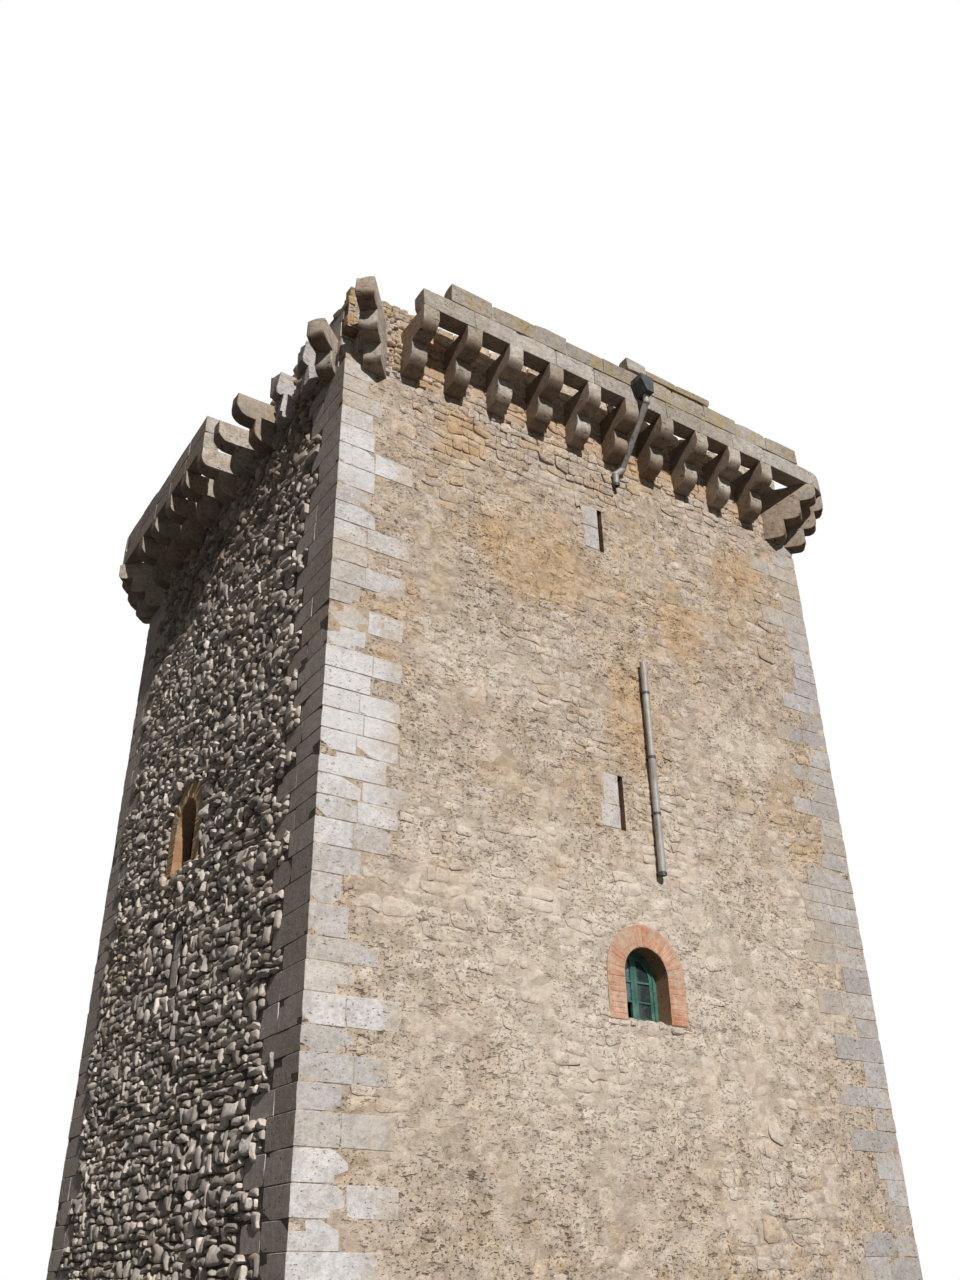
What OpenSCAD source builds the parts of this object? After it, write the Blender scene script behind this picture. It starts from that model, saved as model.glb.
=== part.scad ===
// Castle keep: a square stone tower with a corbelled, open machicolation.
// Millimetres, +Z up, origin on the ground in the middle of the tower.
// The front faces -Y and the side on the left of the front faces -X.

/* [Tower] */
// Width of the front and back faces
tower_w = 9600; // [8800:50:11000]
// Width of the two side faces
tower_d = 9000; // [8200:50:10400]
// Thickness of the walls in the ground storey
wall_t = 1800; // [1500:50:2000]
// How much thinner the walls get above each floor, as a ledge that carries it
ledge = 100; // [60:10:120]
// Height of the feet of the corbels above the ground
corbel_foot_z = 14200; // [14000:50:15000]
// Height of the top of the walls above the feet of the corbels
wall_rise = 1200; // [1150:10:1300]

/* [Floors] */
// Thickness of the paving of the ground storey
ground_t = 200; // [100:10:300]
// Thickness of the upper floors and of the terrace
floor_t = 300; // [200:10:350]
// Top of the first floor
first_floor_z = 3900; // [3600:50:4200]
// Top of the second floor
second_floor_z = 6900; // [6750:50:7050]
// Top of the third floor
third_floor_z = 11200; // [10600:50:11600]

/* [Corbels] */
// How far the parapet stands out from the walls
overhang = 740; // [650:10:850]
// Width of each corbel
corbel_w = 290; // [240:10:330]
// Height of each of the two tiers of a corbel along the walls
tier_h = 455; // [420:5:500]
// Reach of the lower tier of a corbel along the walls
lower_reach = 380; // [320:10:430]
// Radius of the round lower edge of a tier along the walls
tier_round = 260; // [120:10:300]
// Distance from a corner to the middle of the first corbel along the walls
first_corbel = 1152; // [1120:2:1240]
// How far the row of corbels on the front stands to the left of the middle
front_row_shift = 62; // [0:2:70]
// Number of corbels along the front and the back
wide_corbels = 10; // [8:1:11]
// Number of corbels along each side
side_corbels = 9; // [7:1:10]
// Number of corbels at the front end of the left side that are broken to stumps
broken_corbels = 2; // [1:1:3]
// Reach of the upper tier of the first stump
stump_reach = 285; // [220:5:330]
// How much further each next stump reaches
stump_growth = 75; // [40:5:80]

/* [Corner corbels] */
// Height of each of the three tiers of a corner corbel
corner_tier_h = 370; // [340:5:390]
// Reach of the lowest tier of the corbel on the diagonal of a corner
corner_reach_low = 290; // [240:10:330]
// Reach of the middle tier of the corbel on the diagonal
corner_reach_mid = 540; // [480:10:580]
// Radius of the round lower edge of a corner tier
corner_round = 150; // [80:10:200]
// Distance from a corner to the middle of each flanking corbel
flank_from_corner = 520; // [500:10:560]
// Turn of the flanking corbels towards the corner
flank_turn = 40; // [38:1:42]
// Reach of the lowest tier of a flanking corbel, along its own axis
flank_reach_low = 290; // [240:10:330]
// Reach of the middle tier of a flanking corbel
flank_reach_mid = 630; // [580:10:680]
// How much further than the overhang the top tier of a flanking corbel reaches
flank_proud = 210; // [160:10:240]
// Tiers left of the flanking corbel on the far side of the broken corner
broken_flank_tiers = 2; // [1:1:3]
// Height of the socket of the corbel that has fallen
socket_h = 580; // [400:20:650]
// Depth of that socket into the corner
socket_deep = 420; // [250:10:500]

/* [Broken corner] */
// Rise of the rough stone on the tip of the near corner above the walls
tip_rise = 210; // [160:10:260]
// Rise of the rough stones beside it
beside_rise = 130; // [90:10:150]
// How far the rough stones run along the front
rubble_along = 980; // [800:10:1150]
// How far the rough stones run along the left side
rubble_back = 900; // [700:10:1100]
// Depth of the rough stones into the wall
rubble_deep = 420; // [320:10:600]

/* [Parapet] */
// Thickness of the parapet
parapet_t = 300; // [240:10:340]
// Height of the lintel course
lintel_h = 370; // [320:10:420]
// Height of the second course
second_h = 410; // [350:10:460]
// Height of the high rubble end of the short third course
third_h = 260; // [220:10:320]
// Height of the rest of the third course, which has lost its upper bed
third_low_h = 190; // [150:10:210]
// Length of the high end of the third course
third_lump_w = 460; // [300:10:600]
// Left end of the lintel course on the front
front_lintel_left = -3860; // [-3900:10:-3800]
// Left end of the second course on the front
front_second_left = -3340; // [-3500:10:-3100]
// Right end of the second course on the front
front_second_right = 4510; // [4200:10:4600]
// Left end of the third course on the front
front_third_left = 320; // [0:10:600]
// Right end of the third course on the front
front_third_right = 2300; // [1900:10:2700]
// Distance in front of the middle of the left side where its parapet has broken off
side_break = 130; // [0:10:300]

/* [Front window] */
// Middle of the front window, to the right of the middle of the face
front_window_x = 226; // [100:2:400]
// Height of the sill of the front window
front_sill_z = 4734; // [4600:2:4900]
// Width of the front window opening
front_window_w = 760; // [700:10:840]
// Height of the upright jambs of the front window
front_jamb_h = 620; // [520:10:700]
// Width of the brick ring of the front window
front_ring = 300; // [220:10:340]

/* [Side window] */
// Middle of the side window, behind the middle of the face
side_window_y = 370; // [250:10:450]
// Height of the sill of the side window
side_sill_z = 7400; // [7300:10:7500]
// Width of the side window opening
side_window_w = 880; // [800:10:940]
// Height of the upright jambs of the side window
side_jamb_h = 690; // [600:10:780]
// Width of the brick ring of the side window
side_ring = 290; // [220:10:340]

/* [Window details] */
// Depth of the bricks into the wall
brick_deep = 250; // [200:10:300]
// How far the bricks stand out from the wall
brick_proud = 12; // [5:1:25]
// How much wider the window niches are inside the walls
niche_extra = 240; // [100:10:400]
// Section of the outer timber frame
frame_bar = 55; // [45:1:70]
// Depth of the timber frame
frame_deep = 80; // [60:5:100]
// Width of the stiles and rails of each leaf
leaf_bar = 52; // [40:1:60]
// Thickness of each leaf
leaf_deep = 45; // [36:1:50]
// Width of the glazing bars
glazing_bar = 24; // [18:1:32]
// Thickness of the glass
glass_t = 5; // [4:1:8]

/* [Slits] */
// Width of the slits at the outside
slit_w = 95; // [70:5:130]
// Width of the slits at the inside
slit_inside_w = 520; // [350:10:650]
// Depth of the straight outer part of a slit
slit_throat = 300; // [200:10:400]
// Height of the slits
slit_h = 850; // [700:10:950]
// Foot of the slit in the first storey of the sides and back
low_slit_z = 5500; // [5400:10:5600]
// Foot of the slits in the second storey
mid_slit_z = 7384; // [7300:2:7500]
// Foot of the slits in the third storey
high_slit_z = 12232; // [12100:2:12400]
// Middle of the slit in the first storey of the left side, behind the middle
side_slit_y = -130; // [-200:10:0]
// Middle of the front slits, to the right of the middle of the face
front_slit_x = 30; // [-50:2:100]

/* [Drainpipe] */
// Diameter of the pipe
pipe_d = 110; // [90:5:140]
// Thickness of the wall of the pipe
pipe_wall = 4; // [3:1:6]
// Gap between the pipe and the wall behind it
pipe_gap = 40; // [25:5:60]
// Middle of the lower pipe, to the right of the middle of the face
pipe_x = 614; // [560:2:680]
// Foot of the lower pipe
pipe_foot_z = 6790; // [6600:10:7000]
// Top of the lower pipe
pipe_top_z = 10270; // [10000:10:10500]
// Corbel that the upper pipe passes on its right, counted from 0 at the left
pipe_corbel = 5; // [3:1:6]
// Gap between that corbel and the pipe
pipe_side_gap = 12; // [8:1:30]
// How far the foot of the upper pipe stands to the left of its slope
pipe_jog = 162; // [120:2:200]
// Drop of the upper pipe along that step to the left
jog_drop = 170; // [140:5:200]
// Foot of the upper pipe
upper_pipe_foot_z = 13690; // [13600:10:13800]
// Bend where the upper pipe leaves the wall
upper_bend_z = 14110; // [14080:5:14120]
// Length of the upright pipe under the rainwater head
knee_drop = 150; // [120:10:200]
// How far the knuckles at the bends stand out from the pipe
knuckle = 8; // [5:1:12]
// Width of the rainwater head
head_w = 280; // [240:10:320]
// How far the middle of the rainwater head stands to the left of its outlet
head_shift = 60; // [0:5:70]
// Height of the rainwater head
head_h = 330; // [290:10:380]
// Height of the foot of the rainwater head above the undersides of the lintels
head_rise = 120; // [60:10:160]
// Height of the upright rim of the rainwater head
head_rim_h = 110; // [80:5:140]
// Width of the foot of the rainwater head
head_foot_w = 150; // [145:5:160]
// Thickness of the walls of the rainwater head
head_wall = 6; // [4:1:10]
// Width of the bands that hold the pipes
band_w = 40; // [30:5:60]
// Thickness of those bands
band_t = 6; // [4:1:10]
// Height of the lowest band of each pipe above its foot
foot_band = 10; // [0:5:100]
// Number of bands on the lower pipe under its highest one
lower_bands = 3; // [2:1:3]
// Distance between those bands
band_pitch = 905; // [700:5:1000]
// Distance of the highest band below the top of the lower pipe
top_band_drop = 570; // [300:10:700]
// Width of the plate that holds a band to the wall
plate_w = 90; // [60:5:120]

/* [Hidden] */

$fn = 64;
FRONT = 0;
EAST = 90;
NORTH = 180;
WEST = 270;

// Over-cut that carries a cut clear through a face
cut = 20;

wall_top = corbel_foot_z + wall_rise;
lintel_z = corbel_foot_z + 2 * tier_h;
corner_foot_z = lintel_z - 3 * corner_tier_h;
second_z = lintel_z + lintel_h;
third_z = second_z + second_h;

// Undersides of the floors, where the walls step back
ledge_levels = [0, first_floor_z - floor_t, second_floor_z - floor_t,
    third_floor_z - floor_t, wall_top - floor_t, wall_top];
function wall_depth(storey) = wall_t - storey * ledge;

// Length of a face, and the distance of a face from the middle of the tower
function face_length(side) = side % 180 == 0 ? tower_w : tower_d;
function face_distance(side) = (side % 180 == 0 ? tower_d : tower_w) / 2;

// Half widths of the lengths of wall that hold the windows
front_strip = 1200;
west_strip = 1300;

// Places a child drawn for the front on any side, where x runs to the right along
// the face, y runs into the wall and the face itself is at y = 0
module on_side(side) {
    rotate([0, 0, side]) translate([0, -face_distance(side), 0]) children();
}

// Section of a wall that gets thinner above each floor
module wall_section() {
    steps = [for (storey = [0:4]) each [
        [wall_depth(storey), ledge_levels[storey]],
        [wall_depth(storey), ledge_levels[storey + 1]]]];
    polygon(concat([[0, 0]], steps, [[0, wall_top]]));
}

// Length of wall between two places along a face
module wall_length(from, to) {
    translate([from, 0, 0]) rotate([90, 0, 90]) linear_extrude(to - from) wall_section();
}

// Corner of the tower, with the room side stepped back above each floor
module corner_pier() {
    difference() {
        cube([wall_t, wall_t, wall_top]);
        for (storey = [1:4])
            translate([wall_depth(storey), wall_depth(storey), ledge_levels[storey]])
                cube([wall_t, wall_t, wall_top]);
    }
}

// Places a child drawn for the corner at the left end of the front
module at_corner(side) {
    rotate([0, 0, side])
        translate([-face_length(side) / 2, -face_distance(side), 0]) children();
}

// Slab that lies on the ledges of the walls
module floor_slab(storey, top, thick) {
    w = tower_w - 2 * wall_depth(storey);
    d = tower_d - 2 * wall_depth(storey);
    translate([-w / 2, -d / 2, top - thick]) cube([w, d, thick]);
}

// Outline of an opening with upright jambs and a semicircular head
module arch(w, jamb_h) {
    intersection() {
        union() {
            translate([-w / 2, 0]) square([w, jamb_h]);
            translate([0, jamb_h]) circle(d = w);
        }
        translate([-w, 0]) square([2 * w, jamb_h + w]);
    }
}

// Arched block that reaches into the wall from one depth to another
module arched_block(x, z, w, jamb_h, from, to) {
    translate([x, to, z]) rotate([90, 0, 0]) linear_extrude(to - from) arch(w, jamb_h);
}

// Ring of bricks round an arched opening, open at the sill
module brick_ring(x, z, w, jamb_h, ring) {
    translate([x, brick_deep, z]) rotate([90, 0, 0])
        linear_extrude(brick_deep + brick_proud)
            difference() {
                arch(w + 2 * ring, jamb_h);
                translate([0, -cut]) arch(w, jamb_h + cut);
            }
}

// Cuts of an arched window: the seat of the bricks, the opening and the niche inside
module window_cut(x, z, w, jamb_h, ring) {
    arched_block(x, z, w + 2 * ring, jamb_h, -cut, brick_deep);
    arched_block(x, z, w, jamb_h, -cut, wall_t + cut);
    arched_block(x, z, w + niche_extra, jamb_h, brick_deep + frame_deep, wall_t + cut);
}

// Cut of a slit that widens towards the inside
module slit_cut(x, z) {
    translate([x, 0, z]) linear_extrude(slit_h)
        polygon([[-slit_w / 2, -cut], [slit_w / 2, -cut], [slit_w / 2, slit_throat],
            [slit_inside_w / 2, wall_t + cut], [-slit_inside_w / 2, wall_t + cut],
            [-slit_w / 2, slit_throat]]);
}

// Wall of an unseen side with one slit in each upper storey
module slit_wall(side) {
    reach = face_length(side) / 2 - wall_t;
    on_side(side) difference() {
        wall_length(-reach, reach);
        slit_cut(0, low_slit_z);
        slit_cut(0, mid_slit_z);
        slit_cut(0, high_slit_z);
    }
}

// One tier of a corbel seen from the side, its lower outer edge rounded
module tier(reach, h, r, tail) {
    translate([-tail, 0]) square([reach + tail - r, h]);
    translate([-tail, r]) square([reach + tail, h - r]);
    intersection() {
        translate([reach - r, r]) circle(r);
        translate([reach - r, 0]) square(r);
    }
}

// Tiered corbel that stands out from the wall, its foot at z = 0
module corbel(reaches, h, r, tail = 0) {
    rotate([90, 0, -90]) translate([0, 0, -corbel_w / 2])
        linear_extrude(corbel_w)
            for (k = [0:len(reaches) - 1])
                translate([0, k * h]) tier(reaches[k], h, r, tail);
}

wall_reaches = [lower_reach, overhang];

// Place of a corbel along a face
function corbel_x(side, count, k) =
    -face_length(side) / 2 + first_corbel - (side == FRONT ? front_row_shift : 0)
    + k * (face_length(side) - 2 * first_corbel) / (count - 1);

// Row of corbels along a face, with some at its right end left out
module corbel_row(side, count, left_out = 0) {
    on_side(side) for (k = [0:count - left_out - 1])
        translate([corbel_x(side, count, k), 0, corbel_foot_z])
            corbel(wall_reaches, tier_h, tier_round);
}

flank_reaches = [flank_reach_low, flank_reach_mid, overhang + flank_proud];

// Corbel beside a corner, turned towards it and cut to the faces of the walls
module corner_corbel(x, turn, tiers) {
    difference() {
        translate([x, 0, corner_foot_z]) rotate([0, 0, turn])
            corbel([for (k = [0:tiers - 1]) flank_reaches[k]],
                corner_tier_h, corner_round, corbel_w);
        translate([0, 0, corner_foot_z - cut]) cube([wall_t, wall_t, 4 * corner_tier_h]);
    }
}

// Corbel on the diagonal of a corner, its outer edges on the round of the parapet
module diagonal_corbel() {
    reach = sqrt(overhang ^ 2 - (corbel_w / 2) ^ 2);
    difference() {
        translate([0, 0, corner_foot_z]) rotate([0, 0, -45])
            corbel([corner_reach_low, corner_reach_mid, reach],
                corner_tier_h, corner_round, corbel_w);
        translate([0, 0, corner_foot_z - cut]) cube([wall_t, wall_t, 4 * corner_tier_h]);
    }
}

// Three corbels round a corner; the middle one and tiers of the far one may have fallen
module corner_fan(with_middle = true, far_tiers = 3) {
    corner_corbel(flank_from_corner, -flank_turn, 3);
    mirror([1, -1, 0]) corner_corbel(flank_from_corner, -flank_turn, far_tiers);
    if (with_middle) diagonal_corbel();
}

// Course of the parapet along a face
module parapet_course(from, to, z, h) {
    translate([from, -overhang, z]) cube([to - from, parapet_t, h]);
}

// Quarter ring of the parapet round a corner
module parapet_corner(h) {
    translate([0, 0, lintel_z]) rotate([0, 0, 180])
        rotate_extrude(angle = 90) translate([overhang - parapet_t, 0])
            square([parapet_t, h]);
}

whole_h = lintel_h + second_h;
stone = [0.80, 0.74, 0.62];
pale_stone = [0.84, 0.80, 0.71];
side_stone = [0.62, 0.58, 0.52];
brick = [0.78, 0.48, 0.36];
green_paint = [0.22, 0.38, 0.33];
pipe_grey = [0.46, 0.48, 0.50];

module ground_floor() {
    color([0.55, 0.52, 0.47]) floor_slab(0, ground_t, ground_t);
}

module first_floor() {
    color([0.60, 0.56, 0.50]) floor_slab(1, first_floor_z, floor_t);
}

module second_floor() {
    color([0.60, 0.56, 0.50]) floor_slab(2, second_floor_z, floor_t);
}

module third_floor() {
    color([0.60, 0.56, 0.50]) floor_slab(3, third_floor_z, floor_t);
}

module roof_terrace() {
    color([0.66, 0.62, 0.55]) floor_slab(4, wall_top, floor_t);
}

module corner_pier_sw() {
    color(pale_stone) at_corner(FRONT) difference() {
        corner_pier();
        translate([0, 0, corbel_foot_z]) rotate([0, 0, 45])
            translate([-cut, -corbel_w / 2, 0]) cube([socket_deep + cut, corbel_w, socket_h]);
    }
}

module corner_pier_se() {
    color(pale_stone) at_corner(EAST) corner_pier();
}

module corner_pier_ne() {
    color(pale_stone) at_corner(NORTH) corner_pier();
}

module corner_pier_nw() {
    color(pale_stone) at_corner(WEST) corner_pier();
}

module front_wall_left() {
    color(stone) on_side(FRONT) wall_length(-tower_w / 2 + wall_t, front_window_x - front_strip);
}

module front_wall_middle() {
    color(stone) on_side(FRONT) difference() {
        wall_length(front_window_x - front_strip, front_window_x + front_strip);
        window_cut(front_window_x, front_sill_z, front_window_w, front_jamb_h, front_ring);
        slit_cut(front_slit_x, mid_slit_z);
        slit_cut(front_slit_x, high_slit_z);
    }
}

module front_wall_right() {
    color(stone) on_side(FRONT) wall_length(front_window_x + front_strip, tower_w / 2 - wall_t);
}

module west_wall_north() {
    color(side_stone) on_side(WEST)
        wall_length(-tower_d / 2 + wall_t, -side_window_y - west_strip);
}

module west_wall_middle() {
    color(side_stone) on_side(WEST) difference() {
        wall_length(-side_window_y - west_strip, -side_window_y + west_strip);
        window_cut(-side_window_y, side_sill_z, side_window_w, side_jamb_h, side_ring);
        slit_cut(-side_slit_y, low_slit_z);
    }
}

module west_wall_south() {
    color(side_stone) on_side(WEST)
        wall_length(-side_window_y + west_strip, tower_d / 2 - wall_t);
}

module north_wall() {
    color(stone) slit_wall(NORTH);
}

module east_wall() {
    color(stone) slit_wall(EAST);
}

// Rough stone whose top slopes down from its outer corner
module broken_stone(w, d, h, slope) {
    intersection() {
        cube([w, d, 2 * h]);
        translate([0, 0, h]) rotate([-slope, slope, 0]) translate([-w, -d, -2 * h])
            cube([3 * w, 3 * d, 2 * h]);
    }
}

// Rough stones left on the corner where the parapet has fallen, the highest on its tip
module sw_broken_masonry() {
    color(stone) at_corner(FRONT) translate([0, 0, wall_top]) {
        broken_stone(0.31 * rubble_along, 0.8 * rubble_deep, tip_rise, 6);
        broken_stone(0.62 * rubble_along, rubble_deep, beside_rise, 3);
        translate([0.55 * rubble_along, 0, 0])
            broken_stone(0.45 * rubble_along, 0.75 * rubble_deep, beside_rise, 5);
        broken_stone(rubble_deep, 0.6 * rubble_back, beside_rise, 3);
        translate([0, 0.52 * rubble_back, 0])
            broken_stone(0.85 * rubble_deep, 0.48 * rubble_back, 0.8 * beside_rise, 4);
    }
}

module front_window_bricks() {
    color(brick) on_side(FRONT)
        brick_ring(front_window_x, front_sill_z, front_window_w, front_jamb_h, front_ring);
}

module west_window_bricks() {
    color(brick) on_side(WEST)
        brick_ring(-side_window_y, side_sill_z, side_window_w, side_jamb_h, side_ring);
}

// Inside of the timber frame, where the two leaves close
inner_w = front_window_w - 2 * frame_bar;
inner_jamb = front_jamb_h - frame_bar;
leaf_from = brick_deep + (frame_deep - leaf_deep) / 2;
glass_from = brick_deep + (frame_deep - glass_t) / 2;
leaf_gap = 3;

// Heights of the glazing bars, as shares of the height inside the frame
bar_levels = [0.30, 0.60];

module front_window_frame() {
    color(green_paint) on_side(FRONT) difference() {
        arched_block(front_window_x, front_sill_z, front_window_w, front_jamb_h,
            brick_deep, brick_deep + frame_deep);
        arched_block(front_window_x, front_sill_z + frame_bar, inner_w, inner_jamb,
            brick_deep - cut, brick_deep + frame_deep + cut);
    }
}

// Outline of one leaf, to the left of the middle
module leaf_outline() {
    intersection() {
        arch(inner_w, inner_jamb);
        translate([-inner_w / 2, 0]) square([inner_w / 2 - leaf_gap / 2, inner_w + inner_jamb]);
    }
}

// Openings of one leaf, between its stiles, rails and glazing bars
module leaf_lights() {
    top = inner_jamb + inner_w / 2;
    difference() {
        intersection() {
            translate([0, leaf_bar]) arch(inner_w - 2 * leaf_bar, inner_jamb - leaf_bar);
            translate([-inner_w / 2, leaf_bar])
                square([inner_w / 2 - leaf_bar - leaf_gap / 2, top]);
        }
        for (share = bar_levels)
            translate([-inner_w / 2, share * top - glazing_bar / 2])
                square([inner_w / 2, glazing_bar]);
    }
}

// One leaf of the window, to the left of the middle
module leaf() {
    translate([0, leaf_from + leaf_deep, front_sill_z + frame_bar]) rotate([90, 0, 0])
        linear_extrude(leaf_deep) difference() {
            leaf_outline();
            leaf_lights();
        }
}

module front_window_left_leaf() {
    color(green_paint) on_side(FRONT) translate([front_window_x, 0, 0]) leaf();
}

module front_window_right_leaf() {
    color(green_paint) on_side(FRONT) translate([front_window_x, 0, 0]) mirror([1, 0, 0]) leaf();
}

// Panes of both leaves, without the lowest one on the left, which is missing
module front_window_glass() {
    top = inner_jamb + inner_w / 2;
    missing_top = bar_levels[0] * top - glazing_bar / 2;
    color([0.30, 0.38, 0.38]) on_side(FRONT)
        translate([front_window_x, glass_from + glass_t, front_sill_z + frame_bar])
            rotate([90, 0, 0]) linear_extrude(glass_t) {
                difference() {
                    leaf_lights();
                    translate([-inner_w, 0]) square([inner_w, missing_top]);
                }
                mirror([1, 0]) leaf_lights();
            }
}

module front_corbels() {
    color(pale_stone) corbel_row(FRONT, wide_corbels);
}

module west_corbels() {
    color(pale_stone) corbel_row(WEST, side_corbels, broken_corbels);
}

// Side view of a corbel that has broken off, with its ragged end
module stump_outline(reach) {
    polygon([[0, 0], [0.30 * reach, 0.06 * tier_h], [0.62 * reach, 0.34 * tier_h],
        [0.55 * reach, 0.78 * tier_h], [0.82 * reach, 1.05 * tier_h], [reach, 1.32 * tier_h],
        [0.86 * reach, 1.70 * tier_h], [0.93 * reach, 1.88 * tier_h], [0.70 * reach, 2 * tier_h],
        [0, 2 * tier_h]]);
}

// Stumps of corbels, shorter than the whole ones and split off aslant
module west_broken_corbels() {
    color(pale_stone) on_side(WEST)
        for (k = [0:broken_corbels - 1]) {
            reach = stump_reach + k * stump_growth;
            translate([corbel_x(WEST, side_corbels, side_corbels - 1 - k), 0, corbel_foot_z])
                difference() {
                    rotate([90, 0, -90]) translate([0, 0, -corbel_w / 2])
                        linear_extrude(corbel_w) stump_outline(reach);
                    translate([corbel_w / 2, -reach, 0]) rotate([0, 0, 38])
                        translate([-corbel_w / 2, -reach, -cut])
                            cube([corbel_w, reach, 2 * tier_h + 2 * cut]);
                }
        }
}

module north_corbels() {
    color(pale_stone) corbel_row(NORTH, wide_corbels);
}

module east_corbels() {
    color(pale_stone) corbel_row(EAST, side_corbels);
}

module corner_corbels_sw() {
    color(pale_stone) at_corner(FRONT) corner_fan(false, broken_flank_tiers);
}

module corner_corbels_se() {
    color(pale_stone) at_corner(EAST) corner_fan();
}

module corner_corbels_ne() {
    color(pale_stone) at_corner(NORTH) corner_fan();
}

module corner_corbels_nw() {
    color(pale_stone) at_corner(WEST) corner_fan();
}

module front_parapet_lintels() {
    color(pale_stone) on_side(FRONT)
        parapet_course(front_lintel_left, tower_w / 2, lintel_z, lintel_h);
}

module front_parapet_second_course() {
    color(pale_stone) on_side(FRONT)
        parapet_course(front_second_left, front_second_right, second_z, second_h);
}

// Front view of the third course: rough and high at its left end, broken to steps behind it
module third_course_outline() {
    run = front_third_right - front_third_left - third_lump_w;
    translate([front_third_left, 0])
        polygon([[0, 0], [0, 0.7 * third_h], [0.15 * third_lump_w, 0.96 * third_h],
            [0.45 * third_lump_w, third_h], [0.9 * third_lump_w, 0.9 * third_h],
            [third_lump_w, third_low_h], [third_lump_w + 0.35 * run, 0.9 * third_low_h],
            [third_lump_w + 0.36 * run, 0.72 * third_low_h],
            [third_lump_w + 0.75 * run, 0.68 * third_low_h],
            [third_lump_w + 0.76 * run, third_low_h], [third_lump_w + run, third_low_h],
            [third_lump_w + run, 0]]);
}

module front_parapet_third_course() {
    color(pale_stone) on_side(FRONT) translate([0, parapet_t - overhang, third_z])
        rotate([90, 0, 0]) linear_extrude(parapet_t) third_course_outline();
}

module parapet_corner_se() {
    color(pale_stone) at_corner(EAST) parapet_corner(lintel_h);
}

module east_parapet() {
    color(pale_stone) on_side(EAST)
        parapet_course(-tower_d / 2, tower_d / 2, lintel_z, whole_h);
}

module parapet_corner_ne() {
    color(pale_stone) at_corner(NORTH) parapet_corner(whole_h);
}

module north_parapet() {
    color(pale_stone) on_side(NORTH)
        parapet_course(-tower_w / 2, tower_w / 2, lintel_z, whole_h);
}

module parapet_corner_nw() {
    color(pale_stone) at_corner(WEST) parapet_corner(whole_h);
}

module west_parapet() {
    color(pale_stone) on_side(WEST)
        parapet_course(-tower_d / 2, side_break, lintel_z, whole_h);
}

pipe_r = pipe_d / 2;
pipe_y = -pipe_gap - pipe_r;
head_z = lintel_z + head_rise;
head_y = -overhang - head_w / 2;
outlet_x = corbel_x(FRONT, wide_corbels, pipe_corbel) + corbel_w / 2 + pipe_r + pipe_side_gap;
foot_x = outlet_x - pipe_jog;

// Bends of the upper pipe, from its foot on the wall up to the rainwater head
pipe_bends = [[foot_x, pipe_y, upper_bend_z - jog_drop], [outlet_x, pipe_y, upper_bend_z],
    [outlet_x, head_y, head_z - knee_drop]];

// Straight pipe between two bends
module pipe_between(a, b, r) {
    run = b - a;
    translate(a) rotate([0, acos(run[2] / norm(run)), atan2(run[1], run[0])])
        cylinder(h = norm(run), r = r);
}

// Whole upper pipe, longer by an extra length at both ends
module upper_pipe_run(r, extra) {
    foot_z = upper_pipe_foot_z - extra;
    translate([foot_x, pipe_y, foot_z]) cylinder(h = pipe_bends[0][2] - foot_z, r = r);
    pipe_between(pipe_bends[0], pipe_bends[1], r);
    pipe_between(pipe_bends[1], pipe_bends[2], r);
    translate(pipe_bends[2]) cylinder(h = knee_drop + extra, r = r);
    for (bend = pipe_bends) translate(bend) sphere(r + knuckle);
}

module upper_drainpipe() {
    color(pipe_grey) on_side(FRONT) difference() {
        upper_pipe_run(pipe_r, 0);
        upper_pipe_run(pipe_r - pipe_wall, cut);
    }
}

// Front view of the rainwater head above its foot, each side moved in by an inset
module head_outline(inset) {
    left = -head_shift - head_w / 2 + inset;
    right = -head_shift + head_w / 2 - inset;
    foot = head_foot_w / 2 - inset;
    polygon([[-foot, inset], [foot, inset], [right, head_h - head_rim_h],
        [right, head_h], [left, head_h], [left, head_h - head_rim_h]]);
}

// Hopper that gathers the water of the terrace, open at the top and into the pipe
module rainwater_head() {
    inside_w = head_w - 2 * head_wall;
    color([0.22, 0.23, 0.24]) on_side(FRONT) translate([outlet_x, head_y, head_z])
        difference() {
            translate([0, head_w / 2, 0]) rotate([90, 0, 0])
                linear_extrude(head_w) head_outline(0);
            translate([0, inside_w / 2, 0]) rotate([90, 0, 0])
                linear_extrude(inside_w) head_outline(head_wall);
            translate([-head_shift - inside_w / 2, -inside_w / 2, head_h - cut])
                cube([inside_w, inside_w, 2 * cut]);
            translate([0, 0, -cut]) cylinder(h = 2 * cut, r = pipe_r - pipe_wall);
        }
}

module lower_drainpipe() {
    length = pipe_top_z - pipe_foot_z;
    color(pipe_grey) on_side(FRONT) translate([pipe_x, pipe_y, pipe_foot_z]) difference() {
        cylinder(h = length, r = pipe_r);
        translate([0, 0, -cut]) cylinder(h = length + 2 * cut, r = pipe_r - pipe_wall);
    }
}

// Places of the bands that hold the pipes to the wall, each as the middle of its pipe and
// the height of its lower edge
band_places = concat(
    [for (k = [0:lower_bands - 1]) [pipe_x, pipe_foot_z + foot_band + k * band_pitch]],
    [[pipe_x, pipe_top_z - top_band_drop], [foot_x, upper_pipe_foot_z + foot_band]]);

// Width of the arm between a band and the wall
arm_w = band_w / 2;

module drainpipe_clamps() {
    color([0.32, 0.33, 0.34]) on_side(FRONT)
        for (c = band_places)
            translate([c[0], pipe_y, c[1]]) difference() {
                union() {
                    cylinder(h = band_w, r = pipe_r + band_t);
                    translate([-arm_w / 2, 0, (band_w - arm_w) / 2])
                        cube([arm_w, -pipe_y, arm_w]);
                    translate([-plate_w / 2, -pipe_y - band_t, 0])
                        cube([plate_w, band_t, band_w]);
                }
                translate([0, 0, -cut]) cylinder(h = band_w + 2 * cut, r = pipe_r);
            }
}

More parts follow.
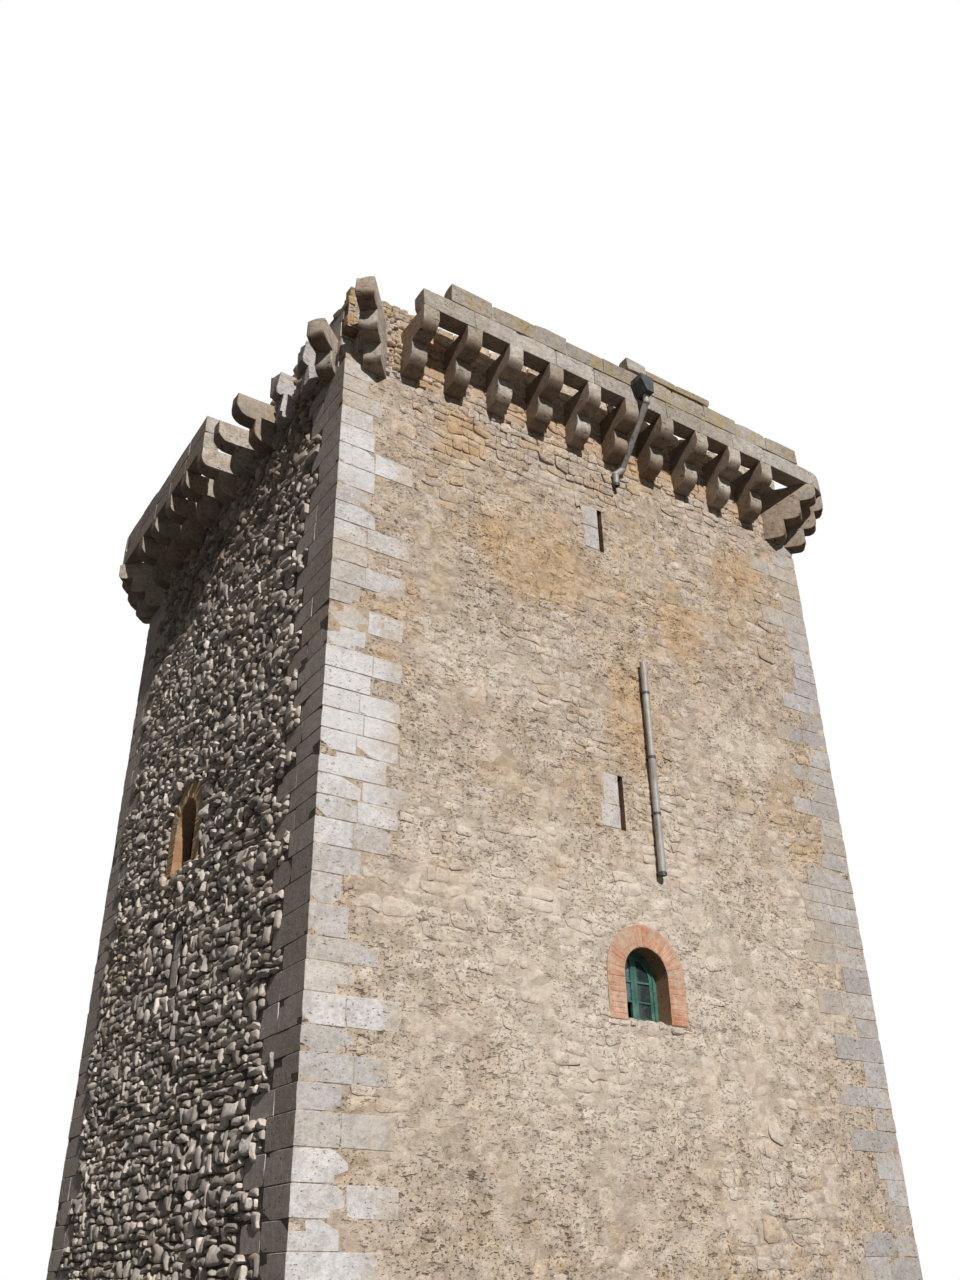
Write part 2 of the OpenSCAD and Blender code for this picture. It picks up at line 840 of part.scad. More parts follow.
ground_floor();
first_floor();
second_floor();
third_floor();
roof_terrace();
corner_pier_sw();
corner_pier_se();
corner_pier_ne();
corner_pier_nw();
front_wall_left();
front_wall_middle();
front_wall_right();
west_wall_north();
west_wall_middle();
west_wall_south();
north_wall();
east_wall();
sw_broken_masonry();
front_window_bricks();
west_window_bricks();
front_window_frame();
front_window_left_leaf();
front_window_right_leaf();
front_window_glass();
front_corbels();
west_corbels();
west_broken_corbels();
north_corbels();
east_corbels();
corner_corbels_sw();
corner_corbels_se();
corner_corbels_ne();
corner_corbels_nw();
front_parapet_lintels();
front_parapet_second_course();
front_parapet_third_course();
parapet_corner_se();
east_parapet();
parapet_corner_ne();
north_parapet();
parapet_corner_nw();
west_parapet();
rainwater_head();
upper_drainpipe();
lower_drainpipe();
drainpipe_clamps();
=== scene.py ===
"""Looks of a ruined castle keep: rubble walls, dressed corners, corbels, parapet, windows and pipes."""
import math
import random
from collections import namedtuple
from functools import partial, reduce

import bmesh
import bpy
from mathutils import Matrix, Vector, noise


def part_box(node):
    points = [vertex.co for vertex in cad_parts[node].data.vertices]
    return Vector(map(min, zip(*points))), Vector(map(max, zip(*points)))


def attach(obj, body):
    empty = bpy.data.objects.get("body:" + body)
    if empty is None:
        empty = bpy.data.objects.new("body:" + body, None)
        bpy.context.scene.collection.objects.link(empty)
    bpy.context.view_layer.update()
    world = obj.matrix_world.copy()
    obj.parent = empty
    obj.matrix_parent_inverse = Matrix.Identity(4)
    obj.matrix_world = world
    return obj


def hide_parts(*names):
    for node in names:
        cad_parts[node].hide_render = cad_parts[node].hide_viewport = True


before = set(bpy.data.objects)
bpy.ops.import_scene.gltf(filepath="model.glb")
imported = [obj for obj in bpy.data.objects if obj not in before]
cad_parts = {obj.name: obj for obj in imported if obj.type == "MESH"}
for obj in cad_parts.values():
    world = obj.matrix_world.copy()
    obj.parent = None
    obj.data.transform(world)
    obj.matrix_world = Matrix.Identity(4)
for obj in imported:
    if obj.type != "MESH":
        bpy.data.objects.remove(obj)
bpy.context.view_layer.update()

noise.seed_set(7)        # without a seed its offsets come from the clock

# Measures of the tower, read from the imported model, in metres
WALL_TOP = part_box("corner_pier_sw")[1].z
HALF_X, HALF_Y = -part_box("corner_pier_sw")[0].xy
CORBEL_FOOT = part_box("front_corbels")[0].z
LINTEL_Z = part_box("front_parapet_lintels")[0].z
SECOND_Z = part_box("front_parapet_second_course")[0].z
THIRD_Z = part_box("front_parapet_third_course")[0].z
OVERHANG = -HALF_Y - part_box("front_corbels")[0].y
PARAPET_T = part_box("front_parapet_lintels")[1].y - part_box("front_parapet_lintels")[0].y

# A side of the tower: x runs to the right along its face, y into the wall, and y is 0 on the face
Side = namedtuple("Side", "name turn half distance")
FRONT = Side("front", 0.0, HALF_X, HALF_Y)
EAST = Side("east", math.pi / 2, HALF_Y, HALF_X)
NORTH = Side("north", math.pi, HALF_X, HALF_Y)
WEST = Side("west", -math.pi / 2, HALF_Y, HALF_X)
SIDES = (FRONT, EAST, NORTH, WEST)


def turned(angle, axis="Z"):
    return Matrix.Rotation(angle, 4, axis)


def moved(x, y, z):
    return Matrix.Translation((x, y, z))


def onto(side):
    """Matrix that carries a shape drawn for a face onto its side of the tower."""
    return turned(side.turn) @ moved(0, -side.distance, 0)


# Shader nodes

def srgb(red, green, blue):
    """Linear colour of a screen colour given from 0 to 255."""
    def linear(value):
        share = value / 255
        return share / 12.92 if share <= 0.04045 else ((share + 0.055) / 1.055) ** 2.4
    return (linear(red), linear(green), linear(blue), 1.0)


class Value:
    """Output socket of a shader node; sums, differences and products of it become Math nodes."""

    def __init__(self, socket):
        self.socket = socket
        self.tree = socket.id_data

    def __add__(self, other):
        return maths("ADD", self, other)

    def __sub__(self, other):
        return maths("SUBTRACT", self, other)

    def __rsub__(self, other):
        return maths("SUBTRACT", other, self)

    def __mul__(self, other):
        return maths("MULTIPLY", self, other)

    def clamped(self):
        """The same value, which its own node now keeps from 0 to 1."""
        self.socket.node.use_clamp = True
        return self


def put(value, socket):
    """Links a value to an input socket, or sets the socket to a plain number or colour."""
    if isinstance(value, Value):
        value.tree.links.new(value.socket, socket)
    else:
        socket.default_value = value


def node(tree, kind, settings=None, **inputs):
    """Adds a shader node with its properties and inputs set, and returns its outputs."""
    made = tree.nodes.new(kind)
    for key, value in (settings or {}).items():
        setattr(made, key, value)
    for key, value in inputs.items():
        put(value, made.inputs[key.replace("_", " ")])
    return made.outputs


def combined(kind, settings, values, places=(0, 1, 2), result=0):
    """Node that works on values or plain numbers, given for the input sockets at the places."""
    tree = next(value.tree for value in values if isinstance(value, Value))
    made = node(tree, kind, settings)[result]
    for place, value in zip(places, values):
        put(value, made.node.inputs[place])
    return Value(made)


def maths(operation, *values):
    return combined("ShaderNodeMath", {"operation": operation}, values)


def vector_maths(operation, *values, result=0):
    return combined("ShaderNodeVectorMath", {"operation": operation}, values, result=result)


def mix(factor, first, second, mode="MIX"):
    """Colour mix of values, colours or numbers."""
    settings = {"data_type": "RGBA", "blend_type": mode}
    return combined("ShaderNodeMix", settings, (factor, first, second), (0, 6, 7), 2)


def noise_at(vector, scale, detail=3.0, roughness=0.55, distortion=0.0):
    return Value(node(vector.tree, "ShaderNodeTexNoise", Vector=vector, Scale=scale, Detail=detail,
                      Roughness=roughness, Distortion=distortion)["Fac"])


def mapped(vector, **change):
    """The same pattern place, moved by a Location or stretched by a Scale."""
    return Value(node(vector.tree, "ShaderNodeMapping", Vector=vector, **change)["Vector"])


def part_of(vector, axis):
    return Value(node(vector.tree, "ShaderNodeSeparateXYZ", Vector=vector)[axis])


def between(value, low, high):
    """0 where the value is under the low mark, 1 over the high one, smooth between them."""
    return Value(node(value.tree, "ShaderNodeMapRange", {"interpolation_type": "SMOOTHSTEP"},
                      Value=value, From_Min=low, From_Max=high)["Result"])


def normal_part(tree, axis):
    """How far the surface faces along an axis."""
    return part_of(Value(node(tree, "ShaderNodeNewGeometry")["Normal"]), axis)


def object_place(tree):
    return Value(node(tree, "ShaderNodeTexCoord")["Object"])


def new_group(name, draw, **inputs):
    """Shader node group of what draw makes from its tree and its inputs.
    An input with a number is a number; one with None is a vector."""
    tree = bpy.data.node_groups.new(name, "ShaderNodeTree")
    for label, value in inputs.items():
        kind = "NodeSocketVector" if value is None else "NodeSocketFloat"
        socket = tree.interface.new_socket(label.replace("_", " "), in_out="INPUT", socket_type=kind)
        if value is not None:
            socket.default_value = value
    given = node(tree, "NodeGroupInput")
    results = draw(tree, *[Value(socket) for socket in given[:len(inputs)]])
    for label in results:
        tree.interface.new_socket(label, in_out="OUTPUT", socket_type="NodeSocketFloat")
    end = tree.nodes.new("NodeGroupOutput")
    for label, value in results.items():
        put(value, end.inputs[label])
    return tree


def stone_grain(tree, place, pit_share, pit_scale, hole_share):
    """Grain of weathered limestone: fine height, and the mask of its small pits and larger holes."""
    fine = noise_at(place, 60.0, 4.0, 0.65)
    coarse = noise_at(place, 11.0, 6.0, 0.7)

    def dark_spots(flatness, share, factor):
        spots = noise_at(mapped(place, Scale=(1.0, 1.0, flatness)), pit_scale * factor, 3.0, 0.6)
        return ((spots - (0.78 - share * 0.3)) * 14.0).clamped()

    small = dark_spots(1.3, pit_share, 1.0)
    large = dark_spots(2.6, hole_share, 0.34)
    gathered = between(noise_at(place, 1.1, 4.0, 0.7), 0.36, 0.58)
    pits = maths("MAXIMUM", small * 0.8, large) * gathered
    cloud = coarse * 0.6 + noise_at(place, 27.0, 4.0, 0.7) * 0.4
    return {"Height": fine * 0.35 + coarse * 0.65 - pits * 0.9, "Pits": pits,
            "Shade": between(cloud, 0.37, 0.63)}


def stain_patch(tree, place, centre, size):
    """Stain with a ragged edge round a place on a wall: centre and half size in metres."""
    away = vector_maths("DIVIDE", vector_maths("SUBTRACT", place, centre), size)
    ragged = noise_at(place, 1.9, 5.0, 0.65)
    edge = vector_maths("LENGTH", away, result=1) + ragged * 1.4
    return {"Mask": 1.0 - between(edge, 0.95, 1.6)}


def weather(tree, place):
    """Slow changes over a wall: ochre patches, grey rain streaks and pale washed areas."""
    ochre = noise_at(place, 0.55, 3.0, 0.6, 0.6) * 0.62 + noise_at(place, 2.7, 4.0, 0.65) * 0.38
    drawn = mapped(place, Scale=(2.6, 2.6, 0.32))
    elsewhere = mapped(place, Location=(7.3, 2.1, 4.9))
    return {"Ochre": between(ochre, 0.46, 0.62),
            "Streaks": between(noise_at(drawn, 1.0, 4.0, 0.6), 0.5, 0.78),
            "Pale": between(noise_at(elsewhere, 0.8, 4.0, 0.6), 0.52, 0.7)}


def lichen_growth(tree, place, amount):
    """Lichen that grows on upward faces and near the top of the tower."""
    upward = between(normal_part(tree, "Z"), -0.15, 0.9)
    grown = noise_at(place, 3.4, 5.0, 0.7) * 0.7 + noise_at(place, 17.0, 4.0, 0.7) * 0.3
    crust = noise_at(mapped(place, Location=(3.1, 9.2, 1.7)), 5.0, 5.0, 0.7)
    return {"Yellow": between(grown + upward * 0.16 + amount * 0.2, 0.62, 0.74),
            "Dark": between(crust + upward * 0.1, 0.56, 0.74)}


def shade_facing_masks(tree):
    """Masks of the faces that look west and of those that look down, whose colour is darkened there as
    painted shade.
    """
    return {label: between(normal_part(tree, axis) * -1.0, low, high)
            for axis, label, low, high in (("X", "West", 0.70, 0.95), ("Z", "Under", 0.10, 0.60))}


GRAIN = new_group("stone_grain", stone_grain, Vector=None, Pit_Share=0.4, Pit_Scale=24.0, Hole_Share=0.3)
PATCH = new_group("stain_patch", stain_patch, Vector=None, Centre=None, Size=None)
WEATHER = new_group("weather", weather, Vector=None)
LICHEN = new_group("lichen", lichen_growth, Vector=None, Amount=0.5)
SHADE_FACING = new_group("shade_facing_masks", shade_facing_masks)


def use_group(tree, group, **inputs):
    """The outputs of a node group, by name."""
    outputs = node(tree, "ShaderNodeGroup", {"node_tree": group}, **inputs)
    return {output.name: Value(output) for output in outputs}


def new_material(name, roughness=0.9, metallic=0.0):
    """Material with a Principled BSDF; returns the material, its tree and the shader's inputs."""
    made = bpy.data.materials.new(name)
    made.use_nodes = True
    shader = made.node_tree.nodes["Principled BSDF"].inputs
    shader["Roughness"].default_value = roughness
    shader["Metallic"].default_value = metallic
    return made, made.node_tree, shader


def bump(shader, height, distance):
    put(Value(node(height.tree, "ShaderNodeBump", Height=height, Distance=distance, Strength=1.0)["Normal"]),
        shader["Normal"])


Stone = namedtuple("Stone", "name pale middle warm cool pit ochre lichen pits holes pit_scale relief "
                   "spread mottle soot smear lime cells damp", defaults=(0.0, 0.0, 0.0, 0.0, 0.0))
Patch = namedtuple("Patch", "x z wide high")

# Ochre stains and pale washed areas of the front, as middle and half size on the face
FRONT_STAINS = (Patch(-1.4, 11.7, 2.1, 1.5), Patch(3.1, 12.9, 1.1, 0.8), Patch(0.45, 9.2, 0.9, 2.2),
                Patch(-2.7, 13.4, 0.8, 0.8), Patch(0.4, 14.5, 4.4, 0.4), Patch(1.6, 11.2, 1.0, 1.0),
                Patch(-3.4, 14.9, 0.8, 0.8))
FRONT_WASHES = (Patch(0.0, 5.2, 7.0, 4.6), Patch(-2.4, 9.4, 1.8, 1.0), Patch(2.6, 9.4, 1.6, 1.0))
CORNER_STAINS = (Patch(-4.5, 13.4, 1.0, 0.7), Patch(-4.5, 10.6, 0.9, 0.6), Patch(4.5, 12.9, 0.9, 0.9))
CORNER_WASHES = (Patch(-4.4, 8.0, 1.3, 2.2), Patch(-4.4, 12.2, 1.2, 0.9))
FRONT_WINDOW_X = 0.226
DARK_LICHEN, YELLOW_LICHEN = srgb(104, 98, 84), srgb(176, 154, 92)
# Colour multiplied in as painted shade on faces that look west or down, and towards the top of the west wall
# as painted shade of the parapet together with dampness
SHADE_AND_DAMP_COLOUR = (0.37, 0.27, 0.20, 1.0)
PLASTER = srgb(204, 187, 164)
PLASTER_REACH = 1.7      # from the corners along the front
TOP_SHADE_AND_DAMP_Z = (11.2, 13.8)    # the painted shade of the parapet and dampness begin, and are whole


def patches_mask(place, patches):
    """Where any of the patches lies on the front, or None without patches."""
    masks = [use_group(place.tree, PATCH, Vector=place, Centre=(patch.x, -HALF_Y, patch.z),
                       Size=(patch.wide, 1.0, patch.high))["Mask"] for patch in patches]
    return reduce(partial(maths, "MAXIMUM"), masks) if masks else None


def stone_layers(place, look, stains=(), washes=()):
    """Colour and height of weathered stone: its own tone for each block, stains, pits, lichen and grain, and
    painted shade on faces that look west or down and towards the top of the west wall.
    """
    tree = place.tree
    tone, warmth = (Value(node(tree, "ShaderNodeAttribute", {"attribute_name": name})["Fac"])
                    for name in ("tone", "warmth"))
    grain = use_group(tree, GRAIN, Vector=place, Pit_Share=look.pits, Pit_Scale=look.pit_scale,
                      Hole_Share=look.holes)
    change = use_group(tree, WEATHER, Vector=place)
    lichen = use_group(tree, LICHEN, Vector=place, Amount=look.lichen)
    tone_mark = tone * look.spread + noise_at(place, 5.0, 5.0, 0.65) * (1.0 - look.spread)
    base = mix(between(tone_mark, 0.22, 0.78), look.middle, look.pale)
    cool = between(noise_at(mapped(place, Location=(4.7, 8.3, 1.9)), 3.4, 4.0, 0.65), 0.42, 0.66)
    base = mix(cool * 0.7, base, look.cool)
    warm_mark = between(warmth, 0.45, 1.0) * (0.4 * look.ochre)
    slow = change["Ochre"] * ((0.35 if stains else 0.9) * look.ochre)
    stained, washed = patches_mask(place, stains), patches_mask(place, washes)
    if stained:
        slow = maths("MAXIMUM", slow, stained * (0.65 * look.ochre))
    base = mix((warm_mark + slow).clamped(), base, look.warm)
    pale, pits, mottling = change["Pale"] * 0.3, grain["Pits"] * 0.8, look.mottle
    if washed:
        pale = maths("MAXIMUM", pale, washed * 0.84)
        mottling = look.mottle - washed * (0.45 * look.mottle)
        pits = pits * (1.0 - washed * 0.5)
    base = mix(pale, base, look.pale)
    if look.cells:
        flat = mapped(place, Scale=(1.0, 1.0, 1.5))
        bent = vector_maths("ADD", flat, noise_at(place, 7.0, 4.0, 0.6) * 0.16)
        cells = Value(node(tree, "ShaderNodeTexVoronoi", Vector=bent, Scale=5.5)["Color"])
        shown = mix(between(cells, 0.25, 0.75), (0.83, 0.82, 0.81, 1.0), (1.11, 1.11, 1.12, 1.0))
        base = mix(look.cells, base, shown, "MULTIPLY")
    if look.smear:
        inward = HALF_X - maths("ABSOLUTE", part_of(place, "X"))
        ragged = noise_at(place, 2.6, 6.0, 0.7) * 1.5
        plaster = between(inward + ragged, 1.56, 1.90) * maths("LESS_THAN", inward, PLASTER_REACH)
        base = mix(plaster * look.smear, base, PLASTER)
    if look.lime:
        base = mix(between(noise_at(place, 4.2, 6.0, 0.72), 0.50, 0.60) * look.lime, base, PLASTER)
    base = mix(change["Streaks"] * 0.2, base, look.middle)
    shade = mix(grain["Shade"], (0.74, 0.71, 0.68, 1.0), (1.08, 1.08, 1.09, 1.0))
    base = mix(mottling, base, shade, "MULTIPLY")
    base = mix(pits, base, look.pit)
    base = mix(lichen["Dark"] * (0.5 * look.lichen), base, DARK_LICHEN)
    base = mix(lichen["Yellow"] * min(1.0, 0.95 * look.lichen), base, YELLOW_LICHEN)
    # Darker towards the top of the west wall: painted shade of the parapet, partly real dampness
    if look.damp:
        base = mix(between(part_of(place, "Z"), *TOP_SHADE_AND_DAMP_Z) * look.damp, base, SHADE_AND_DAMP_COLOUR, "MULTIPLY")
    # Faces that look west or down are darkened: painted shade
    if look.soot:
        shade_masks = use_group(tree, SHADE_FACING)
        painted_shade_mask = maths("MAXIMUM", shade_masks["West"], shade_masks["Under"])
        base = mix(painted_shade_mask * look.soot, base, SHADE_AND_DAMP_COLOUR, "MULTIPLY")
    return base, grain["Height"]


def stone_material(look, stains=(), washes=(), west=None):
    """Material of weathered stone; west is the look of its faces on the west side, if they differ: a darker
    look that paints shade on them.
    """
    made, tree, shader = new_material(look.name, 0.93)
    shader["Specular IOR Level"].default_value = 0.25
    place = object_place(tree)
    base, height = stone_layers(place, look, stains, washes)
    # West faces take the darker look: painted shade
    if west:
        base = mix(use_group(tree, SHADE_FACING)["West"], base, stone_layers(place, west)[0])
    put(base, shader["Base Color"])
    bump(shader, height, look.relief)
    return made


def stone(name, colours, amounts, **more):
    """Look of a stone from its pale, middle, warm, cool and pit colour on the screen, and the amounts
    ochre, lichen, pits, holes, pit_scale, relief, spread and mottle."""
    return Stone(name, *(srgb(*colour) for colour in colours), *amounts, **more)


# A look's darkening of faces that look west or down is painted shade; its darkening towards the top of the
# west wall is painted shade of the parapet, partly real dampness.
FRONT_STONE = stone("front_rubble_stone",
    ((228, 216, 202), (204, 188, 168), (212, 176, 128), (200, 188, 180), (92, 72, 52)),
    (0.8, 0.06, 0.6, 0.54, 25.0, 0.022, 0.5, 1.0), cells=0.6)
FRONT_MORTAR = stone("front_lime_mortar",
    ((223, 209, 192), (200, 182, 160), (210, 172, 122), (198, 184, 172), (84, 64, 44)),
    (0.9, 0.05, 0.66, 0.6, 22.0, 0.03, 0.0, 1.0), soot=0.9, cells=0.9)
SIDE_STONE = stone("side_rubble_stone",
    ((246, 236, 226), (169, 160, 153), (184, 163, 134), (150, 144, 140), (58, 50, 46)),
    (0.35, 0.1, 0.35, 0.35, 20.0, 0.012, 0.7, 0.8), damp=0.6)
# Dark mortar of the west wall: partly eroded mortar, partly painted shade of its deep joints and of the
# shaded west face
SHADED_SIDE_MORTAR = stone("shaded_side_lime_mortar",
    ((100, 90, 83), (64, 56, 51), (96, 82, 62), (68, 62, 59), (34, 29, 26)),
    (0.3, 0.05, 0.7, 0.6, 17.0, 0.03, 0.0, 0.9), damp=0.6)
ASHLAR = stone("dressed_corner_stone",
    ((234, 232, 233), (203, 199, 195), (216, 196, 166), (206, 203, 204), (116, 100, 86)),
    (0.5, 0.06, 0.5, 0.4, 24.0, 0.018, 0.6, 0.9), soot=0.6, smear=0.6)
GREY_ASHLAR = ASHLAR._replace(name="grey_corner_stone", pale=srgb(206, 202, 199), middle=srgb(182, 177, 173),
                              cool=srgb(188, 185, 185))
LICHENED = stone("lichened_corner_stone",
    ((204, 192, 164), (180, 156, 120), (198, 156, 106), (176, 172, 146), (84, 64, 44)),
    (0.8, 0.45, 0.6, 0.6, 22.0, 0.018, 0.6, 0.9), soot=0.5)
BED_STONE = stone("corbel_bed_stone",
    ((232, 212, 188), (202, 174, 142), (208, 168, 122), (208, 190, 176), (104, 78, 52)),
    (0.6, 0.05, 0.5, 0.4, 22.0, 0.016, 0.7, 0.8))
CORBEL_STONE = stone("corbel_stone",
    ((222, 214, 204), (180, 167, 151), (166, 140, 108), (180, 172, 164), (80, 64, 46)),
    (0.5, 0.2, 0.5, 0.5, 22.0, 0.016, 0.5, 1.0), soot=0.74)
PARAPET_STONE = stone("parapet_stone",
    ((214, 208, 202), (176, 169, 162), (182, 164, 130), (178, 173, 171), (84, 74, 62)),
    (0.4, 0.28, 0.55, 0.45, 22.0, 0.016, 0.45, 1.0), soot=0.6)
PARAPET_TOP = PARAPET_STONE._replace(name="lichened_parapet_stone", pale=srgb(200, 194, 187),
                                     middle=srgb(160, 151, 142), lichen=0.66, ochre=0.75, spread=0.6)
PAVING = stone("paving_stone",
    ((196, 186, 170), (150, 140, 126), (160, 140, 108), (158, 152, 144), (84, 74, 62)),
    (0.4, 0.3, 0.5, 0.3, 20.0, 0.012, 0.5, 0.8))
BRICK = stone("window_brick",
    ((228, 188, 162), (206, 150, 122), (196, 128, 98), (212, 178, 160), (104, 70, 54)),
    (0.5, 0.03, 0.4, 0.25, 30.0, 0.006, 0.75, 0.9), lime=0.65)
OCHRE_PLASTER = stone("ochre_window_plaster",
    ((224, 200, 160), (186, 152, 114), (168, 122, 94), (184, 166, 140), (96, 72, 52)),
    (0.6, 0.05, 0.5, 0.3, 26.0, 0.008, 0.5, 0.9))
BRICK_MORTAR = stone("salmon_brick_mortar",
    ((222, 190, 164), (200, 160, 134), (198, 150, 116), (210, 182, 162), (110, 80, 62)),
    (0.5, 0.03, 0.5, 0.35, 24.0, 0.01, 0.0, 0.8), soot=0.7, lime=0.8)


def painted_wood():
    """Green paint on old boards: brush marks along the wood, chalky fading and bare worn spots."""
    made, tree, shader = new_material("worn_green_paint", 0.62)
    place = object_place(tree)
    strokes = noise_at(mapped(place, Scale=(60.0, 60.0, 6.0)), 1.0, 3.0, 0.6)
    fading = between(noise_at(place, 5.0, 4.0, 0.65), 0.35, 0.7)
    paint = mix(fading, srgb(44, 92, 80), srgb(86, 132, 116))
    worn = between(noise_at(place, 34.0, 5.0, 0.7) + strokes * 0.25, 0.74, 0.80)
    put(mix(worn, paint, srgb(128, 116, 96)), shader["Base Color"])
    put(worn * 0.25 + 0.55, shader["Roughness"])
    bump(shader, strokes - worn, 0.0015)
    return made


def old_glass():
    """Thin old panes, slightly wavy, with dust that gathers in patches; those of the left leaf are bluer."""
    made, tree, shader = new_material("dusty_glass", 0.08)
    shader["IOR"].default_value = 1.5
    shader["Transmission Weight"].default_value = 0.65
    place = object_place(tree)
    left = maths("LESS_THAN", part_of(place, "X"), FRONT_WINDOW_X)
    dust = between(noise_at(place, 9.0, 5.0, 0.7), 0.42, 0.75)
    clear = mix(dust, srgb(79, 96, 102), srgb(114, 119, 117))
    bluer = mix(dust, srgb(104, 148, 168), srgb(180, 190, 188))
    put(mix(left, clear, bluer), shader["Base Color"])
    put(dust * 0.4 + 0.05, shader["Roughness"])
    bump(shader, noise_at(place, 6.0, 1.0), 0.002)
    return made


def weathered_metal(name, pale, middle, dark, rust_share, metallic=0.35):
    """Dull sheet metal with grime that runs down it and rust that starts in spots."""
    made, tree, shader = new_material(name, 0.6, metallic)
    place = object_place(tree)
    runs = noise_at(mapped(place, Scale=(22.0, 22.0, 1.6)), 1.0, 4.0, 0.6)
    base = mix(between(noise_at(place, 7.0, 5.0, 0.65), 0.3, 0.7), middle, pale)
    base = mix(between(runs, 0.48, 0.72), base, dark)
    spots = noise_at(place, 26.0, 5.0, 0.75)
    rust = between(spots, 0.78 - rust_share, 0.84 - rust_share)
    put(mix(rust, base, srgb(126, 78, 48)), shader["Base Color"])
    put(rust * 0.3 + 0.55, shader["Roughness"])
    bump(shader, spots + rust, 0.0012)
    return made


# Meshes

def into_scene(name, data):
    """New object with a mesh, light or camera, linked to the scene."""
    made = bpy.data.objects.new(name, data)
    bpy.context.scene.collection.objects.link(made)
    return made


def new_mesh():
    """Empty bmesh with the two values that each stone gets for its colour."""
    bm = bmesh.new()
    bm.faces.layers.float.new("tone")
    bm.faces.layers.float.new("warmth")
    return bm


def spot(item):
    """Place of a vertex or face, the key that puts them in the same order on every run."""
    place = item.co if isinstance(item, bmesh.types.BMVert) else item.calc_center_median()
    return tuple(round(value, 4) for value in place)


def tint(bm, seed):
    """Gives each separate stone one random tone and one random warmth."""
    rng = random.Random(seed)
    tone = bm.faces.layers.float["tone"]
    warmth = bm.faces.layers.float["warmth"]
    for face in bm.faces:
        face.tag = False
    stones = []
    for start in bm.faces:
        if start.tag:
            continue
        start.tag = True
        stone = [start]
        for face in stone:
            for edge in face.edges:
                for other in edge.link_faces:
                    if not other.tag:
                        other.tag = True
                        stone.append(other)
        stones.append((min(map(spot, stone)), stone))
    for place, stone in sorted(stones, key=lambda pair: pair[0]):
        values = (rng.random(), rng.random())
        for face in stone:
            face[tone], face[warmth] = values


def piece(name, material, slot, seed, draw, *given, home=Matrix(), nodes=(), crease=32, **options):
    """Makes a named piece of the tower, in place of the given nodes, of the stones that draw adds.
    home carries them from their face to its side of the tower."""
    bm = new_mesh()
    draw(bm, random.Random(seed), *given, **options)
    bm.transform(home)
    for vert in bm.verts:
        vert.co.z = max(vert.co.z, 0.0)
    bmesh.ops.recalc_face_normals(bm, faces=bm.faces[:])
    tint(bm, seed)
    for face in bm.faces:
        face.smooth = True
    for edge in bm.edges:
        if len(edge.link_faces) == 2 and edge.calc_face_angle() > math.radians(crease):
            edge.smooth = False
    mesh = bpy.data.meshes.new(name)
    bm.to_mesh(mesh)
    bm.free()
    mesh.materials.append(material)
    made = into_scene(name, mesh)
    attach(made, "root")
    if nodes:
        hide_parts(*nodes)


def wander(verts, amount, frequency, offset):
    """Moves vertices by smooth noise, so that worked stone isn't dead straight."""
    for vert in verts:
        place = vert.co * frequency + Vector((offset, offset, offset))
        vert.co += noise.noise_vector(place) * amount


def joined_to(start):
    """All vertices of the solid that a vertex belongs to."""
    found, waiting = {start: None}, [start]
    while waiting:
        for edge in waiting.pop().link_edges:
            for vert in edge.verts:
                if vert not in found:
                    found[vert] = None
                    waiting.append(vert)
    return list(found)


def edges_of(verts):
    """Every edge at the vertices once, in a fixed order."""
    return list(dict.fromkeys(link for vert in verts for link in vert.link_edges))


def bevelled(bm, items, offset, kind="OFFSET", segments=1, affect="EDGES"):
    """Bevels edges or corners and returns the vertices that this makes."""
    return bmesh.ops.bevel(bm, geom=items, offset=offset, offset_type=kind, segments=segments, profile=0.5,
                           affect=affect, clamp_overlap=True, material=-1)["verts"]


def dressed_block(bm, low, high, rng, cuts=1, edge=0.009, chip=0.03, wear=0.004, shape=None):
    """Squared stone between two corners, with worn edges and chipped corners.
    shape carries its points to their place, on a curve or on a turned face."""
    low, high = Vector(low), Vector(high)
    middle = (low + high) / 2
    half = (high - low) / 2
    matrix = Matrix.Translation(middle) @ Matrix.Diagonal((*(high - low), 1.0))
    verts = bmesh.ops.create_cube(bm, size=1.0, matrix=matrix)["verts"]
    if cuts:
        edges = edges_of(verts)
        made = bmesh.ops.subdivide_edges(bm, edges=edges, cuts=cuts, use_grid_fill=True)
        inner = next(item for item in made["geom_inner"] if isinstance(item, bmesh.types.BMVert))
        verts = joined_to(inner)
    for vert in sorted(verts, key=spot):
        away = vert.co - middle
        at_tip = all(abs(away[axis]) > 0.98 * half[axis] for axis in range(3))
        if at_tip and rng.random() < 0.4:
            vert.co -= away.normalized() * rng.uniform(0.2, 1.0) * chip
    arrises = [link for link in edges_of(verts) if link.calc_face_angle(0.0) > 0.8]
    verts = joined_to(bevelled(bm, arrises, edge)[0])
    wander(verts, wear, 3.1, rng.uniform(0, 50))
    if shape:
        for vert in verts:
            vert.co = shape(vert.co)
    return verts


# Courses of the dressed corner stones, which the rubble between them follows

COURSE_HEIGHTS = (0.28, 0.38)
LONG_TOOTH, SHORT_TOOTH, SHORT_FRONT_TOOTH = (0.92, 1.30), (0.62, 0.94), (0.40, 0.68)
JOINT = 0.009


def course_levels():
    rng = random.Random(11)
    levels = [0.0]
    while levels[-1] < WALL_TOP:
        levels.append(levels[-1] + rng.uniform(*COURSE_HEIGHTS))
    stretch = WALL_TOP / levels[-1]
    return [level * stretch for level in levels]


COURSES = course_levels()


def tooth_lengths(seed, side):
    """Length of the dressed stones in each course at one end of a face, long and short in turn."""
    rng = random.Random(seed)
    short = SHORT_FRONT_TOOTH if side is FRONT else SHORT_TOOTH
    lengths = []
    for course in range(len(COURSES) - 1):
        is_long = (course + seed) % 2 if rng.random() < 0.8 else rng.random() < 0.5
        lengths.append(rng.uniform(*(LONG_TOOTH if is_long else short)))
    return lengths


